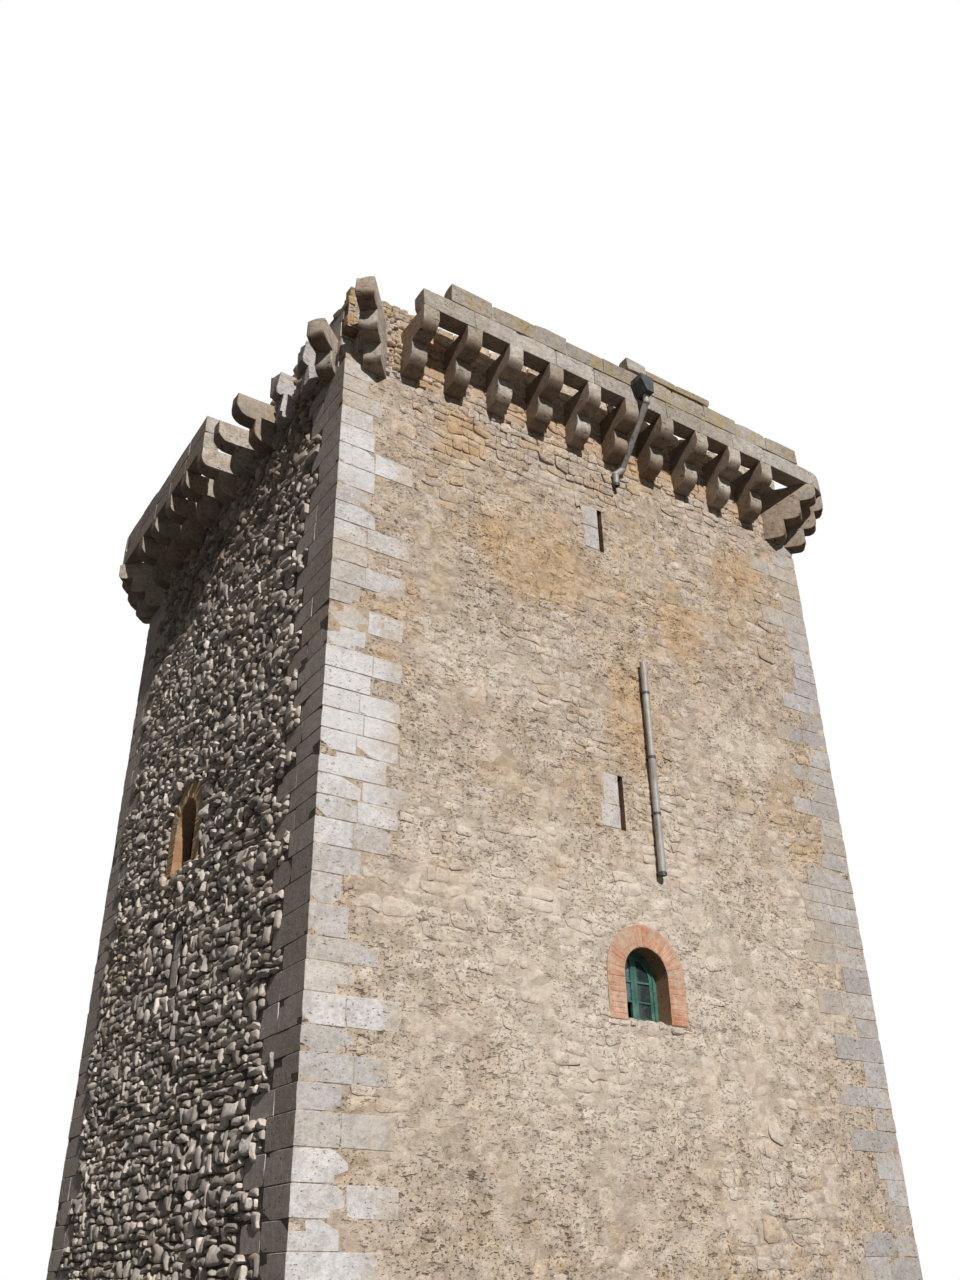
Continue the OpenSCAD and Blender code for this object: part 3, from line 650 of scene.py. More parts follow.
TEETH = {(side.name, end): tooth_lengths(seed, side)
         for seed, (side, end) in enumerate((side, end) for side in SIDES for end in ("left", "right"))}


def course_at(z):
    """Number of the course that holds a height."""
    for course, level in enumerate(COURSES[1:]):
        if z < level:
            return course
    return len(COURSES) - 2


# Openings in the faces, as places that the stones keep clear of

Arch = namedtuple("Arch", "x sill half jamb")
Slot = namedtuple("Slot", "x half low high left right over")

brick_low, brick_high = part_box("front_window_bricks")
FRONT_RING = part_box("front_window_frame")[0].x - brick_low.x
FRONT_WINDOW = Arch((brick_low.x + brick_high.x) / 2, brick_low.z, (brick_high.x - brick_low.x) / 2,
                    brick_high.z - brick_low.z - (brick_high.x - brick_low.x) / 2)
side_low, side_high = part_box("west_window_bricks")
SIDE_RING = 0.29
SIDE_WINDOW = Arch(-(side_low.y + side_high.y) / 2, side_low.z, (side_high.y - side_low.y) / 2,
                   side_high.z - side_low.z - (side_high.y - side_low.y) / 2)
SLIT_HALF, SLIT_H = 0.0475, 0.85
LOW_SLIT, MIDDLE_SLIT, HIGH_SLIT = 5.5, 7.384, 12.232


# Width of the dressed stones on both sides of a slit, and their height above and below it
JAMB_W, JAMB_OVER = 0.30, 0.24


def slit(x, foot, left=JAMB_W, right=JAMB_W, over=JAMB_OVER):
    return Slot(x, SLIT_HALF, foot, foot + SLIT_H, left, right, over)


def smeared_slit(x, foot):
    """Slit with dressed stones on its left only, and mortar smeared up to its other edges."""
    return slit(x, foot, left=0.36, right=0.05, over=0.03)


SLITS = {
    "front": [smeared_slit(0.03, MIDDLE_SLIT), smeared_slit(0.03, HIGH_SLIT)],
    "east": [slit(0.0, foot) for foot in (LOW_SLIT, MIDDLE_SLIT, HIGH_SLIT)],
    "north": [slit(0.0, foot) for foot in (LOW_SLIT, MIDDLE_SLIT, HIGH_SLIT)],
    "west": [smeared_slit(0.13, LOW_SLIT)],
}
ARCHES = {"front": [FRONT_WINDOW], "west": [SIDE_WINDOW], "north": [], "east": []}


def pushed_out(x, z, arch):
    """Nearest place outside an arched opening and its bricks, or the place itself."""
    spring = arch.sill + arch.jamb
    across = x - arch.x
    if z > spring:
        away = math.hypot(across, z - spring)
        if away < arch.half:
            grown = arch.half / max(away, 0.01)
            return arch.x + across * grown, spring + (z - spring) * grown
        return x, z
    if abs(across) < arch.half and z > arch.sill:
        if z - arch.sill < arch.half - abs(across):
            return x, arch.sill
        return arch.x + math.copysign(arch.half, across), z
    return x, z


Rubble = namedtuple("Rubble", "cell runs tall joint corner relief tilt steps rough sink rows crease crown",
                    defaults=(0.0,))


def rubble_grid(bm, side, spec, rng):
    """Face of the wall as a grid of cells joined at random into stones, one polygon each."""
    levels = [low + (high - low) * row / spec.rows
              for low, high in zip(COURSES, COURSES[1:]) for row in range(spec.rows)] + [COURSES[-1]]
    rows = len(levels) - 1
    columns = round(2 * side.half / spec.cell)
    bmesh.ops.create_grid(bm, x_segments=columns, y_segments=rows, size=0.5,
                          matrix=turned(math.pi / 2, "X"))
    place = {}
    for vert in bm.verts:
        place[vert] = (round((vert.co.x + 0.5) * columns), round((vert.co.z + 0.5) * rows))
    breaks, bridged = stone_runs(rows, columns, spec, rng)
    gone = []
    for edge in bm.edges:
        (first_column, first_row), (second_column, second_row) = (place[vert] for vert in edge.verts)
        row, column = min(first_row, second_row), min(first_column, second_column)
        if edge.is_boundary:
            continue
        if first_column == second_column and column not in breaks[row]:
            gone.append(edge)
        elif first_row == second_row and (row, column) in bridged:
            gone.append(edge)
    for vert, (column, row) in place.items():
        x = -side.half + 2 * side.half * column / columns
        z = levels[row]
        height = levels[min(row + 1, rows)] - levels[max(row - 1, 0)]
        middle = 1.0 - abs(x / side.half) ** 4
        z += middle * 0.07 * noise.noise(Vector((x * 0.9, z * 0.7, side.turn)))
        inner = 0 < row < rows
        vert.co = (x + rng.uniform(-0.32, 0.32) * spec.cell, 0.0,
                   z + (rng.uniform(-0.13, 0.13) * height if inner else 0.0))
    bmesh.ops.dissolve_edges(bm, edges=gone, use_verts=True)


def stone_runs(rows, columns, spec, rng):
    """Joints of the stones in each row of cells, and the cells joined with the row below."""
    breaks, bridged, below = [], set(), {}
    for row in range(rows):
        here, joints, column = {}, {0}, 0
        while column < columns:
            end = below.get(column)
            if end and rng.random() < spec.tall:
                bridged.update((row, cell) for cell in range(column, end))
            else:
                end = min(column + rng.choice(spec.runs), columns)
                here[column] = end
            column = end
            joints.add(column)
        breaks.append(joints)
        below = here
    return breaks, bridged


def clear_of_openings(face, side):
    """Moves a stone's points out of the corner stones and openings; False if it is wholly in one."""
    centre = face.calc_center_median()
    course = course_at(centre.z)
    left = -side.half + TEETH[side.name, "left"][course] + JOINT
    right = side.half - TEETH[side.name, "right"][course] - JOINT
    if not left < centre.x < right:
        return False
    for vert in face.verts:
        vert.co.x = min(max(vert.co.x, left), right)
    for arch in ARCHES[side.name]:
        if pushed_out(centre.x, centre.z, arch) != (centre.x, centre.z):
            return False
        for vert in face.verts:
            vert.co.x, vert.co.z = pushed_out(vert.co.x, vert.co.z, arch)
    for gap in SLITS[side.name]:
        left, right = gap.x - gap.half - gap.left, gap.x + gap.half + gap.right
        if max(vert.co.z for vert in face.verts) < gap.low - gap.over \
                or min(vert.co.z for vert in face.verts) > gap.high + gap.over:
            continue
        if left < centre.x < right:
            return False
        for vert in face.verts:
            vert.co.x = min(vert.co.x, left) if centre.x < left else max(vert.co.x, right)
    return True


def off_corner(side, place):
    """Distance along the face from a place to the nearest dressed corner stone of its course."""
    course = course_at(place.z)
    left = place.x + side.half - TEETH[side.name, "left"][course]
    right = side.half - TEETH[side.name, "right"][course] - place.x
    return min(left, right)


LEAST_SHARE = 0.024      # of a stone's area to its edge, under which it is a sliver
CROWN_FOOT = 12.7        # above it the stones may stand further out


def rubble_skin(bm, rng, side, spec, offset, foot=0.0, top=WALL_TOP):
    """Rubble stones of one face, each a closed solid bedded in the wall behind it."""
    rubble_grid(bm, side, spec, rng)
    bmesh.ops.split_edges(bm, edges=bm.edges[:])
    lost = [face for face in bm.faces if not clear_of_openings(face, side)]
    lost_set = set(lost)
    for face in bm.faces:
        if face in lost_set:
            continue
        edge = sum(link.calc_length() for link in face.edges)
        centre = face.calc_center_median()
        if face.calc_area() < LEAST_SHARE * edge or not foot <= centre.z < top:
            lost.append(face)
    bmesh.ops.delete(bm, geom=lost, context="FACES")
    rims = bmesh.ops.inset_individual(bm, faces=bm.faces[:], thickness=spec.joint, depth=0.0,
                                      use_even_offset=False)["faces"]
    bmesh.ops.delete(bm, geom=rims, context="FACES")
    straight = [vert for vert in bm.verts if vert.calc_edge_angle(0.0) < 0.3]
    bmesh.ops.dissolve_verts(bm, verts=straight)
    bevelled(bm, bm.verts[:], spec.corner, "PERCENT", affect="VERTICES")
    bases = bm.faces[:]
    for face in bases:
        centre = face.calc_center_median()
        share = rng.uniform(0.93, 1.0)
        for vert in face.verts:
            vert.co = centre + (vert.co - centre) * share
            vert.co.y = 0.03
    made = bmesh.ops.extrude_face_region(bm, geom=bases, use_keep_orig=True)["geom"]
    tops = sorted((face for face in made if isinstance(face, bmesh.types.BMFace)), key=spot)
    for face in tops:
        centre = face.calc_center_median()
        relief = rng.uniform(*spec.relief)
        relief += spec.sink * noise.noise(Vector((centre.x * 0.55, 5.0, centre.z * 0.55)))
        inside = max(off_corner(side, centre), 0.0)
        relief += (spec.crown * min(max(centre.z - CROWN_FOOT, 0.0), 1.0) * min(inside / 0.9, 1.0)
                   * rng.uniform(0.5, 1.3))
        relief = min(relief, 0.006 + 0.16 * inside)
        slope = (rng.uniform(-spec.tilt, spec.tilt), rng.uniform(-spec.tilt, spec.tilt))
        for vert in face.verts:
            vert.co.y = -relief - slope[0] * (vert.co.x - centre.x) - slope[1] * (vert.co.z - centre.z)
    for thickness, depth in spec.steps:
        bmesh.ops.inset_individual(bm, faces=tops, thickness=thickness, depth=depth,
                                   use_even_offset=False)
    peaks = bmesh.ops.poke(bm, faces=tops, offset=0.0)["verts"]
    for peak in peaks:
        peak.co.y -= rng.uniform(-0.3, 1.0) * spec.rough
    loose = [vert for vert in bm.verts if vert.co.y < 0.02]
    wander(loose, spec.rough, 8.0, offset)
    wander(loose, spec.rough * 0.5, 21.0, offset)


# Dressed stones of the corners

Corner = namedtuple("Corner", "name side left_of")
CORNERS = (Corner("sw", FRONT, WEST), Corner("se", EAST, FRONT), Corner("ne", NORTH, EAST),
           Corner("nw", WEST, NORTH))
PROUD = (0.006, 0.010)
LONGEST_TURN = 1.04      # a longer corner stone is two stones
BEDDED = 0.25            # how far the stones beside a corner reach into the wall
TIP_STONE, TIP_H = 0.16, 0.87
SOCKET_H, SOCKET_HALF = 0.58, 0.22


def at_corner(side):
    """Matrix that carries a shape drawn for the corner at the left end of a face to its place."""
    return turned(side.turn) @ moved(-side.half, -side.distance, 0)


def corner_course(bm, rng, low, high, along, back, hole=0.0):
    """One course of a corner: the stone that turns it and one beside it on each face.
    hole leaves the tip of the corner open, as far as that along both faces."""
    stands = -rng.uniform(*PROUD)
    turn_along = along if along < LONGEST_TURN else along * rng.uniform(0.42, 0.62)
    turn_back = back if back < LONGEST_TURN else back * rng.uniform(0.42, 0.62)
    gap = JOINT / 2
    foot, head = low + gap, high - gap
    worn = {"edge": 0.005, "chip": 0.03, "wear": 0.005}
    if hole:
        dressed_block(bm, (hole, stands, foot), (along - gap, BEDDED, head), rng, wear=0.010, chip=0.06)
        dressed_block(bm, (stands, hole, foot), (BEDDED, back - gap, head), rng, wear=0.010, chip=0.06)
        return
    dressed_block(bm, (stands, stands, foot), (turn_along - gap, turn_back - gap, head), rng, **worn)
    beside = stands + rng.uniform(0.0, 0.002)
    if along > turn_along:
        dressed_block(bm, (turn_along + gap, beside, foot), (along - gap, BEDDED, head), rng, **worn)
    if back > turn_back:
        dressed_block(bm, (beside, turn_back + gap, foot), (BEDDED, back - gap, head), rng, **worn)


def corner_stones(bm, rng, corner):
    """All courses of one corner; those round the socket of the fallen corbel stop beside it."""
    along = TEETH[corner.side.name, "left"]
    back = TEETH[corner.left_of.name, "right"]
    for course, (low, high) in enumerate(zip(COURSES, COURSES[1:])):
        open_tip = 0.0
        if corner.name == "sw" and high > CORBEL_FOOT + 0.02:
            open_tip = SOCKET_HALF if low < CORBEL_FOOT + SOCKET_H else TIP_STONE
        corner_course(bm, rng, low, high, along[course], back[course], open_tip)


def tip_stones(bm, rng):
    """Lichened stones on the tip of the broken corner, over the socket of the fallen corbel."""
    foot = CORBEL_FOOT + SOCKET_H + 0.03
    levels = [foot + TIP_H * share for share in (0.0, 0.27, 0.50, 0.72, 1.0)]
    for low, high in zip(levels, levels[1:]):
        rim = rng.uniform(-0.02, 0.022)
        reach = TIP_STONE - rng.uniform(0.005, 0.06)
        dressed_block(bm, (-rim, -rim, low + 0.003), (reach, reach + 0.06, high - 0.003), rng, cuts=2,
                      edge=0.012, chip=0.05, wear=0.014)


def slit_stones(bm, rng, side):
    """Dressed stones beside each slit of a face, with a sill and a lintel where there is room."""
    for gap in SLITS[side.name]:
        stands = -rng.uniform(*PROUD)
        joint_z = gap.low + rng.uniform(0.35, 0.6) * SLIT_H
        for way, width in ((-1, gap.left), (1, gap.right)):
            if width < JAMB_W:
                continue
            for low, high in ((gap.low, joint_z), (joint_z, gap.high)):
                far = gap.half + width - rng.uniform(0.01, 0.09)
                left, right = sorted((gap.x + way * gap.half, gap.x + way * far))
                dressed_block(bm, (left, stands, low + JOINT / 2), (right, 0.2, high - JOINT / 2), rng,
                              cuts=2, wear=0.010)
        if gap.over < JAMB_OVER:
            continue
        for low, high in ((gap.low - gap.over + JOINT, gap.low), (gap.high, gap.high + gap.over - JOINT)):
            far = gap.half + JAMB_W - rng.uniform(0.01, 0.08)
            dressed_block(bm, (gap.x - far, stands, low + JOINT / 2), (gap.x + far, 0.2, high - JOINT / 2),
                          rng, wear=0.008)


# Corbels

CORBEL_W = 0.29
TIER_H, LOWER_REACH, TIER_ROUND = 0.455, 0.38, 0.26
CORNER_TIER_H, CORNER_ROUND = 0.37, 0.15
CORNER_FOOT = LINTEL_Z - 3 * CORNER_TIER_H
CORNER_REACHES = (0.29, 0.54)
FLANK_PLACE, FLANK_TURN = 0.52, math.radians(40)
FLANK_REACHES = (0.29, 0.63, OVERHANG + 0.21)
FIRST_CORBEL, FRONT_SHIFT = 1.152, 0.062
CORBEL_COUNT = {"front": 10, "north": 10, "east": 9, "west": 9}
BROKEN_CORBELS = 2


def corbel_x(side, k):
    """Place of a corbel along its face."""
    shift = FRONT_SHIFT if side is FRONT else 0.0
    pitch = 2 * (side.half - FIRST_CORBEL) / (CORBEL_COUNT[side.name] - 1)
    return -side.half + FIRST_CORBEL - shift + k * pitch


def corbel_outline(reaches, tier_h, radius, tail, steps=5):
    """Points of a tiered corbel seen from the side, as reach and height, each tier rounded below."""
    points = [(-tail, 0.0)]
    for k, reach in enumerate(reaches):
        for step in range(steps + 1):
            turn = math.pi / 2 * step / steps
            points.append((reach - radius + radius * math.sin(turn),
                           k * tier_h + radius - radius * math.cos(turn)))
        points.append((reach, (k + 1) * tier_h))
    points.append((-tail, len(reaches) * tier_h))
    return points


def corbel(bm, reaches, tier_h, radius, matrix, rng, tail=0.12, wear=0.012):
    """One corbel with worn and chipped edges, its foot at the origin of the matrix."""
    verts = [bm.verts.new((-CORBEL_W / 2, -reach, height))
             for reach, height in corbel_outline(reaches, tier_h, radius, tail)]
    near = bm.faces.new(verts)
    made = bmesh.ops.extrude_face_region(bm, geom=[near], use_keep_orig=True)["geom"]
    away = [item for item in made if isinstance(item, bmesh.types.BMVert)]
    bmesh.ops.translate(bm, verts=away, vec=(CORBEL_W, 0, 0))
    far = next(item for item in made if isinstance(item, bmesh.types.BMFace))
    across = [edge for vert in verts for edge in vert.link_edges if edge.other_vert(vert) in away]
    bmesh.ops.subdivide_edges(bm, edges=across, cuts=3, use_grid_fill=True)
    rims = [*near.edges, *far.edges]
    every = joined_to(bevelled(bm, rims, rng.uniform(0.012, 0.022), segments=2)[0])
    wander(every, wear, 5.0, rng.uniform(0, 90))
    wander(every, wear * 0.5, 17.0, rng.uniform(0, 90))
    last = len(reaches) - 1
    ends = [vert for vert in every if -vert.co.y > 0.93 * reaches[min(int(vert.co.z / tier_h), last)]]
    wander(ends, wear * 1.4, 11.0, rng.uniform(0, 90))
    bmesh.ops.transform(bm, matrix=matrix, verts=every)


def wall_corbels(bm, rng, side, numbers, reaches=None, wear=0.012, radius=TIER_ROUND):
    """Corbels with the given numbers along a face."""
    for index, k in enumerate(numbers):
        out = reaches[index] if reaches else (LOWER_REACH, OVERHANG)
        matrix = onto(side) @ moved(corbel_x(side, k), 0.0, CORBEL_FOOT)
        corbel(bm, out, TIER_H, radius, matrix, rng, wear=wear)


def bed_stones(bm, rng, side):
    """Rough stones in the wall below each gap between corbels, in layers that stand a little proud."""
    for k in range(CORBEL_COUNT[side.name] - 1):
        middle = (corbel_x(side, k) + corbel_x(side, k + 1)) / 2
        head = CORBEL_FOOT + rng.uniform(0.38, 0.42)
        for height in (rng.uniform(0.13, 0.20), rng.uniform(0.10, 0.17), rng.uniform(0.10, 0.17)):
            left = middle - rng.uniform(0.20, 0.27)
            right = middle + rng.uniform(0.20, 0.27)
            joint = middle + rng.uniform(-0.12, 0.12)
            parts = [(left, right)] if rng.random() < 0.4 else [(left, joint), (joint, right)]
            for start, end in parts:
                dressed_block(bm, (start + 0.008, -rng.uniform(0.012, 0.045), head - height + 0.007),
                              (end - 0.008, 0.1, head - 0.007), rng, cuts=2, edge=0.016, chip=0.07,
                              wear=0.022)
            head -= height


def corner_corbels(bm, rng, corner, broken):
    """Three tiered corbels round a corner.
    On a broken one the middle corbel is gone, and the top tier of the one beyond it."""
    home = at_corner(corner.side) @ moved(0, 0, CORNER_FOOT)
    right = moved(FLANK_PLACE, 0, 0) @ turned(-FLANK_TURN)
    left = turned(-math.pi / 2) @ moved(-FLANK_PLACE, 0, 0) @ turned(FLANK_TURN)
    for place, tiers in ((right, 3), (left, 2 if broken else 3)):
        corbel(bm, FLANK_REACHES[:tiers], CORNER_TIER_H, CORNER_ROUND, home @ place, rng, tail=CORBEL_W)
    if not broken:
        straight = math.sqrt(OVERHANG ** 2 - (CORBEL_W / 2) ** 2)
        corbel(bm, (*CORNER_REACHES, straight), CORNER_TIER_H, CORNER_ROUND,
               home @ turned(-math.pi / 4), rng, tail=CORBEL_W)


# Parapet

BLOCK_LENGTHS = (0.62, 0.95)


def course_joints(start, end, rng, low, high):
    """Ends of the blocks along a course, each block between the two lengths."""
    count = max(1, round((end - start) / rng.uniform(low, high)))
    step = (end - start) / count
    inner = [start + step * k + rng.uniform(-0.16, 0.16) * step for k in range(1, count)]
    return [start, *inner, end]


def parapet_blocks(bm, side, joints, foot, height, rng, ragged):
    """Blocks of one straight course of the parapet; ragged lowers their tops unevenly."""
    for left, right in zip(joints, joints[1:]):
        head = foot + height - rng.uniform(0.0, ragged)
        stands = rng.uniform(-0.004, 0.004)
        verts = dressed_block(bm, (left + JOINT / 3, stands - OVERHANG, foot + JOINT / 3),
                              (right - JOINT / 3, PARAPET_T - OVERHANG, head - JOINT / 3), rng,
                              cuts=2, edge=0.006, chip=0.05, wear=0.009)
        bmesh.ops.transform(bm, matrix=onto(side), verts=verts)
    behind = 0.012
    head = foot + height - ragged - behind
    core = dressed_block(bm, (joints[0] + behind * 3, behind - OVERHANG, foot + 0.002),
                         (joints[-1] - behind * 3, PARAPET_T - OVERHANG - behind, head),
                         rng, cuts=0, chip=0.0, wear=0.0)
    bmesh.ops.transform(bm, matrix=onto(side), verts=core)


def parapet_bends(bm, rng, courses):
    """Two blocks round the corner at the left end of a face, for each course given as foot and height."""
    middle = OVERHANG - PARAPET_T / 2
    length = middle * math.pi / 2

    def bent(place):
        turn = place.x / middle
        radius = middle - place.y
        return Vector((-radius * math.cos(turn), -radius * math.sin(turn), place.z))

    for foot, height in courses:
        for left, right in ((0.0, length / 2), (length / 2, length)):
            dressed_block(bm, (left + JOINT / 3, -PARAPET_T / 2, foot + JOINT / 3),
                          (right - JOINT / 3, PARAPET_T / 2, foot + height - JOINT / 3), rng,
                          cuts=3, edge=0.008, chip=0.05, wear=0.009, shape=bent)


def lintel_joints(side, start, end):
    """Ends of the lintels, which meet over the corbels."""
    places = [corbel_x(side, k) for k in range(CORBEL_COUNT[side.name])]
    return [start, *(x for x in places if start + 0.2 < x < end - 0.2), end]


def parapet_lengths(bm, rng, courses):
    """Straight lengths of the parapet, given as side, start, end, foot, height, ragged."""
    for side, start, end, foot, height, ragged in courses:
        if foot == LINTEL_Z:
            joints = lintel_joints(side, start, end)
        else:
            joints = course_joints(start, end, rng, *BLOCK_LENGTHS)
        parapet_blocks(bm, side, joints, foot, height, rng, ragged)


# Bricks, plaster and the sill of the windows

BRICK_PITCH, BRICK_JOINT, BRICK_PROUD = 0.067, 0.009, 0.012


def brick_surround(bm, rng, window, ring):
    """Bricks of the arch and of both jambs, standing a little out of the mortar round them."""
    inner = window.half - ring
    spring = window.sill + window.jamb
    middle = inner + ring / 2
    count = round(math.pi * middle / BRICK_PITCH)
    width = math.pi * middle / count - BRICK_JOINT

    def wedge(place):
        return Vector((place.x * (0.25 + 0.75 * place.z / middle), place.y, place.z))

    for k in range(count):
        out = BRICK_PROUD + rng.uniform(0.000, 0.010)
        head = inner + ring * rng.uniform(0.84, 1.0)
        verts = dressed_block(bm, (-width / 2, -out, inner + 0.004), (width / 2, 0.10, head), rng,
                              cuts=0, edge=0.005, chip=0.012, wear=0.003, shape=wedge)
        place = moved(window.x, 0, spring) @ turned(math.pi * (k + 0.5) / count - math.pi / 2, "Y")
        bmesh.ops.transform(bm, matrix=place, verts=verts)
    rows = round(window.jamb / BRICK_PITCH)
    pitch = window.jamb / rows
    for way in (-1, 1):
        for row in range(rows):
            out = BRICK_PROUD + rng.uniform(0.002, 0.010)
            foot = window.sill + row * pitch + BRICK_JOINT / 2
            reach = inner + ring * (1.0 if (row + way) % 3 else 0.84) * rng.uniform(0.88, 1.0)
            left, right = sorted((window.x + way * (inner + 0.004), window.x + way * reach))
            dressed_block(bm, (left, -out, foot), (right, 0.10, foot + pitch - BRICK_JOINT), rng,
                          cuts=0, edge=0.005, chip=0.012, wear=0.003)


# Rough stones and paving of the tops and sills

def rough_stone(bm, place, size, matrix, rng):
    """Stone left where the work above it has fallen, turned and broken at random."""
    half = Vector(size) / 2
    verts = dressed_block(bm, -half, half, rng, cuts=1, edge=0.02, chip=0.09, wear=0.03)
    turn = turned(rng.uniform(-0.35, 0.35)) @ turned(rng.uniform(-0.2, 0.2), "X")
    bmesh.ops.transform(bm, matrix=matrix @ Matrix.Translation(place) @ turn, verts=verts)


def broken_top(bm, rng, runs, full=1.0):
    """Ragged stones along broken wall tops, given as side, start, end and rise of the last layer.
    full is the share of the last layer that is still there."""
    for side, start, end, rise in runs:
        for layer, deep in ((0, 0.16), (0, 0.48), (1, 0.2)):
            x = start
            while x < end:
                length = rng.uniform(0.2, 0.42)
                height = rng.uniform(0.11, 0.2)
                level = WALL_TOP + layer * rise + rng.uniform(-0.05, 0.02)
                if layer == 0 or rng.random() < full:
                    rough_stone(bm, Vector((x + length / 2, deep + rng.uniform(-0.05, 0.03), level)),
                                (length, rng.uniform(0.24, 0.36), height), onto(side), rng)
                x += length * rng.uniform(0.9, 1.1)


def wall_kerb(bm, rng, start, end):
    """Last course of a wall, level with its face, that catches the sun behind the parapet."""
    joints = course_joints(start, end, rng, 0.3, 0.6)
    for left, right in zip(joints, joints[1:]):
        dressed_block(bm, (left + 0.006, rng.uniform(0.0, 0.03), WALL_TOP - 0.04),
                      (right - 0.006, 0.34, WALL_TOP + rng.uniform(0.26, 0.30)), rng, cuts=2,
                      edge=0.014, chip=0.05, wear=0.016)


def ragged_face(bm, rng):
    """Rough stones that stick out of the front beside the broken corner, where its dressed skin is gone."""
    z = CORBEL_FOOT - 0.08
    while z < WALL_TOP + 0.1:
        height = rng.uniform(0.09, 0.16)
        x = -HALF_X + (0.63 if z < LINTEL_Z - 0.05 else 0.26) + rng.uniform(0.0, 0.04)
        while x < -HALF_X + 0.90:
            length = rng.uniform(0.10, 0.20)
            centre = Vector((x + length / 2, rng.uniform(0.06, 0.10), z + height / 2))
            rough_stone(bm, centre, (length * 0.94, 0.26, height * 0.9), onto(FRONT), rng)
            x += length
        z += height


def sill_stones(bm, rng, side, window, ring):
    """Broken stones and mortar along the foot of a window, in place of a cut sill."""
    x = window.x - window.half
    while x < window.x + window.half:
        length = rng.uniform(0.12, 0.26)
        inside = abs(x + length / 2 - window.x) < window.half - ring
        level = window.sill - 0.03 + (rng.uniform(0.0, 0.02) if inside else rng.uniform(-0.03, 0.0))
        rough_stone(bm, Vector((x + length / 2, 0.08, level)), (length * 1.05, 0.2, rng.uniform(0.07, 0.12)),
                    onto(side), rng)
        x += length


BARE_CORNER = (1.4, 1.0)  # no paving that far from the broken corner


def paving(bm, rng):
    """Flagstones of the terrace and of the tops of the walls, inside the open slots."""
    edge_x, edge_y = HALF_X - 0.06, HALF_Y - 0.06
    y = -edge_y
    while y < edge_y - 0.1:
        depth = min(rng.uniform(0.45, 0.62), edge_y - y)
        joints = course_joints(-edge_x, edge_x, rng, 0.5, 0.8)
        for left, right in zip(joints, joints[1:]):
            if left < -HALF_X + BARE_CORNER[0] and y < -HALF_Y + BARE_CORNER[1]:
                continue
            top = WALL_TOP + rng.uniform(0.008, 0.022)
            dressed_block(bm, (left + 0.007, y + 0.007, WALL_TOP - 0.03),
                          (right - 0.007, y + depth - 0.007, top), rng, cuts=0, edge=0.008, wear=0.004)
        y += depth


# Studio: camera where the photograph was taken, soft light, pale floor and white backdrop

CAMERA_PLACE = Vector((-10.15, -16.36, 1.61))
CAMERA_YAW, CAMERA_PITCH, CAMERA_ROLL = (math.radians(turn) for turn in (33.16, 30.08, -0.72))
CAMERA_LENS = 31.87
SUN_PATH = Vector((0.18, 1.0, -0.72))
FILL_PATH = Vector((-0.8, -0.95, -0.45))


def make_camera():
    data = bpy.data.cameras.new("camera")
    data.lens = CAMERA_LENS
    data.clip_end = 300.0
    camera = into_scene("camera", data)
    yaw, pitch, roll = CAMERA_YAW, CAMERA_PITCH, CAMERA_ROLL
    ahead = Vector((math.sin(yaw) * math.cos(pitch), math.cos(yaw) * math.cos(pitch), math.sin(pitch)))
    level = Vector((math.cos(yaw), -math.sin(yaw), 0.0))
    above = level.cross(ahead)
    right = level * math.cos(roll) + above * math.sin(roll)
    upward = above * math.cos(roll) - level * math.sin(roll)
    turn = Matrix((right, upward, -ahead)).transposed().to_4x4()
    camera.matrix_world = Matrix.Translation(CAMERA_PLACE) @ turn
    bpy.context.scene.camera = camera


def make_sun(name, path, strength, angle, colour):
    data = bpy.data.lights.new(name, "SUN")
    data.energy = strength
    data.angle = math.radians(angle)
    data.color = colour
    into_scene(name, data).rotation_euler = path.to_track_quat("-Z", "Y").to_euler()


def make_world(ambient):
    """Even white light, and a white background for the camera and for reflections."""
    world = bpy.data.worlds.new("studio")
    bpy.context.scene.world = world
    world.use_nodes = True
    tree = world.node_tree
    background = tree.nodes["Background"]
    background.inputs["Color"].default_value = (1.0, 1.0, 1.0, 1.0)
    rays = node(tree, "ShaderNodeLightPath")
    camera, glossy, through = (Value(rays["Is %s Ray" % kind])
                               for kind in ("Camera", "Glossy", "Transmission"))
    seen = ((camera + glossy).clamped() + through).clamped()
    put(seen * (1.0 - ambient) + ambient, background.inputs["Strength"])


def make_floor():
    """Pale floor in the picture that throws back only as much light as dry ground does."""
    bm = bmesh.new()
    bmesh.ops.create_circle(bm, cap_ends=True, segments=64, radius=70.0)
    mesh = bpy.data.meshes.new("floor")
    bm.to_mesh(mesh)
    bm.free()
    floor = into_scene("floor", mesh)
    made, tree, shader = new_material("studio_floor", 0.9)
    seen = Value(node(tree, "ShaderNodeLightPath")["Is Camera Ray"])
    put(mix(seen, (0.07, 0.07, 0.07, 1.0), (0.78, 0.78, 0.77, 1.0)), shader["Base Color"])
    mesh.materials.append(made)


def make_studio():
    make_camera()
    make_sun("key_light", SUN_PATH, 3.55, 1.0, (1.0, 0.97, 0.93))
    make_sun("fill_light", FILL_PATH, 2.4, 40.0, (0.95, 0.97, 1.0))
    make_world(0.07)
    make_floor()
    bpy.context.scene.view_settings.view_transform = "Standard"


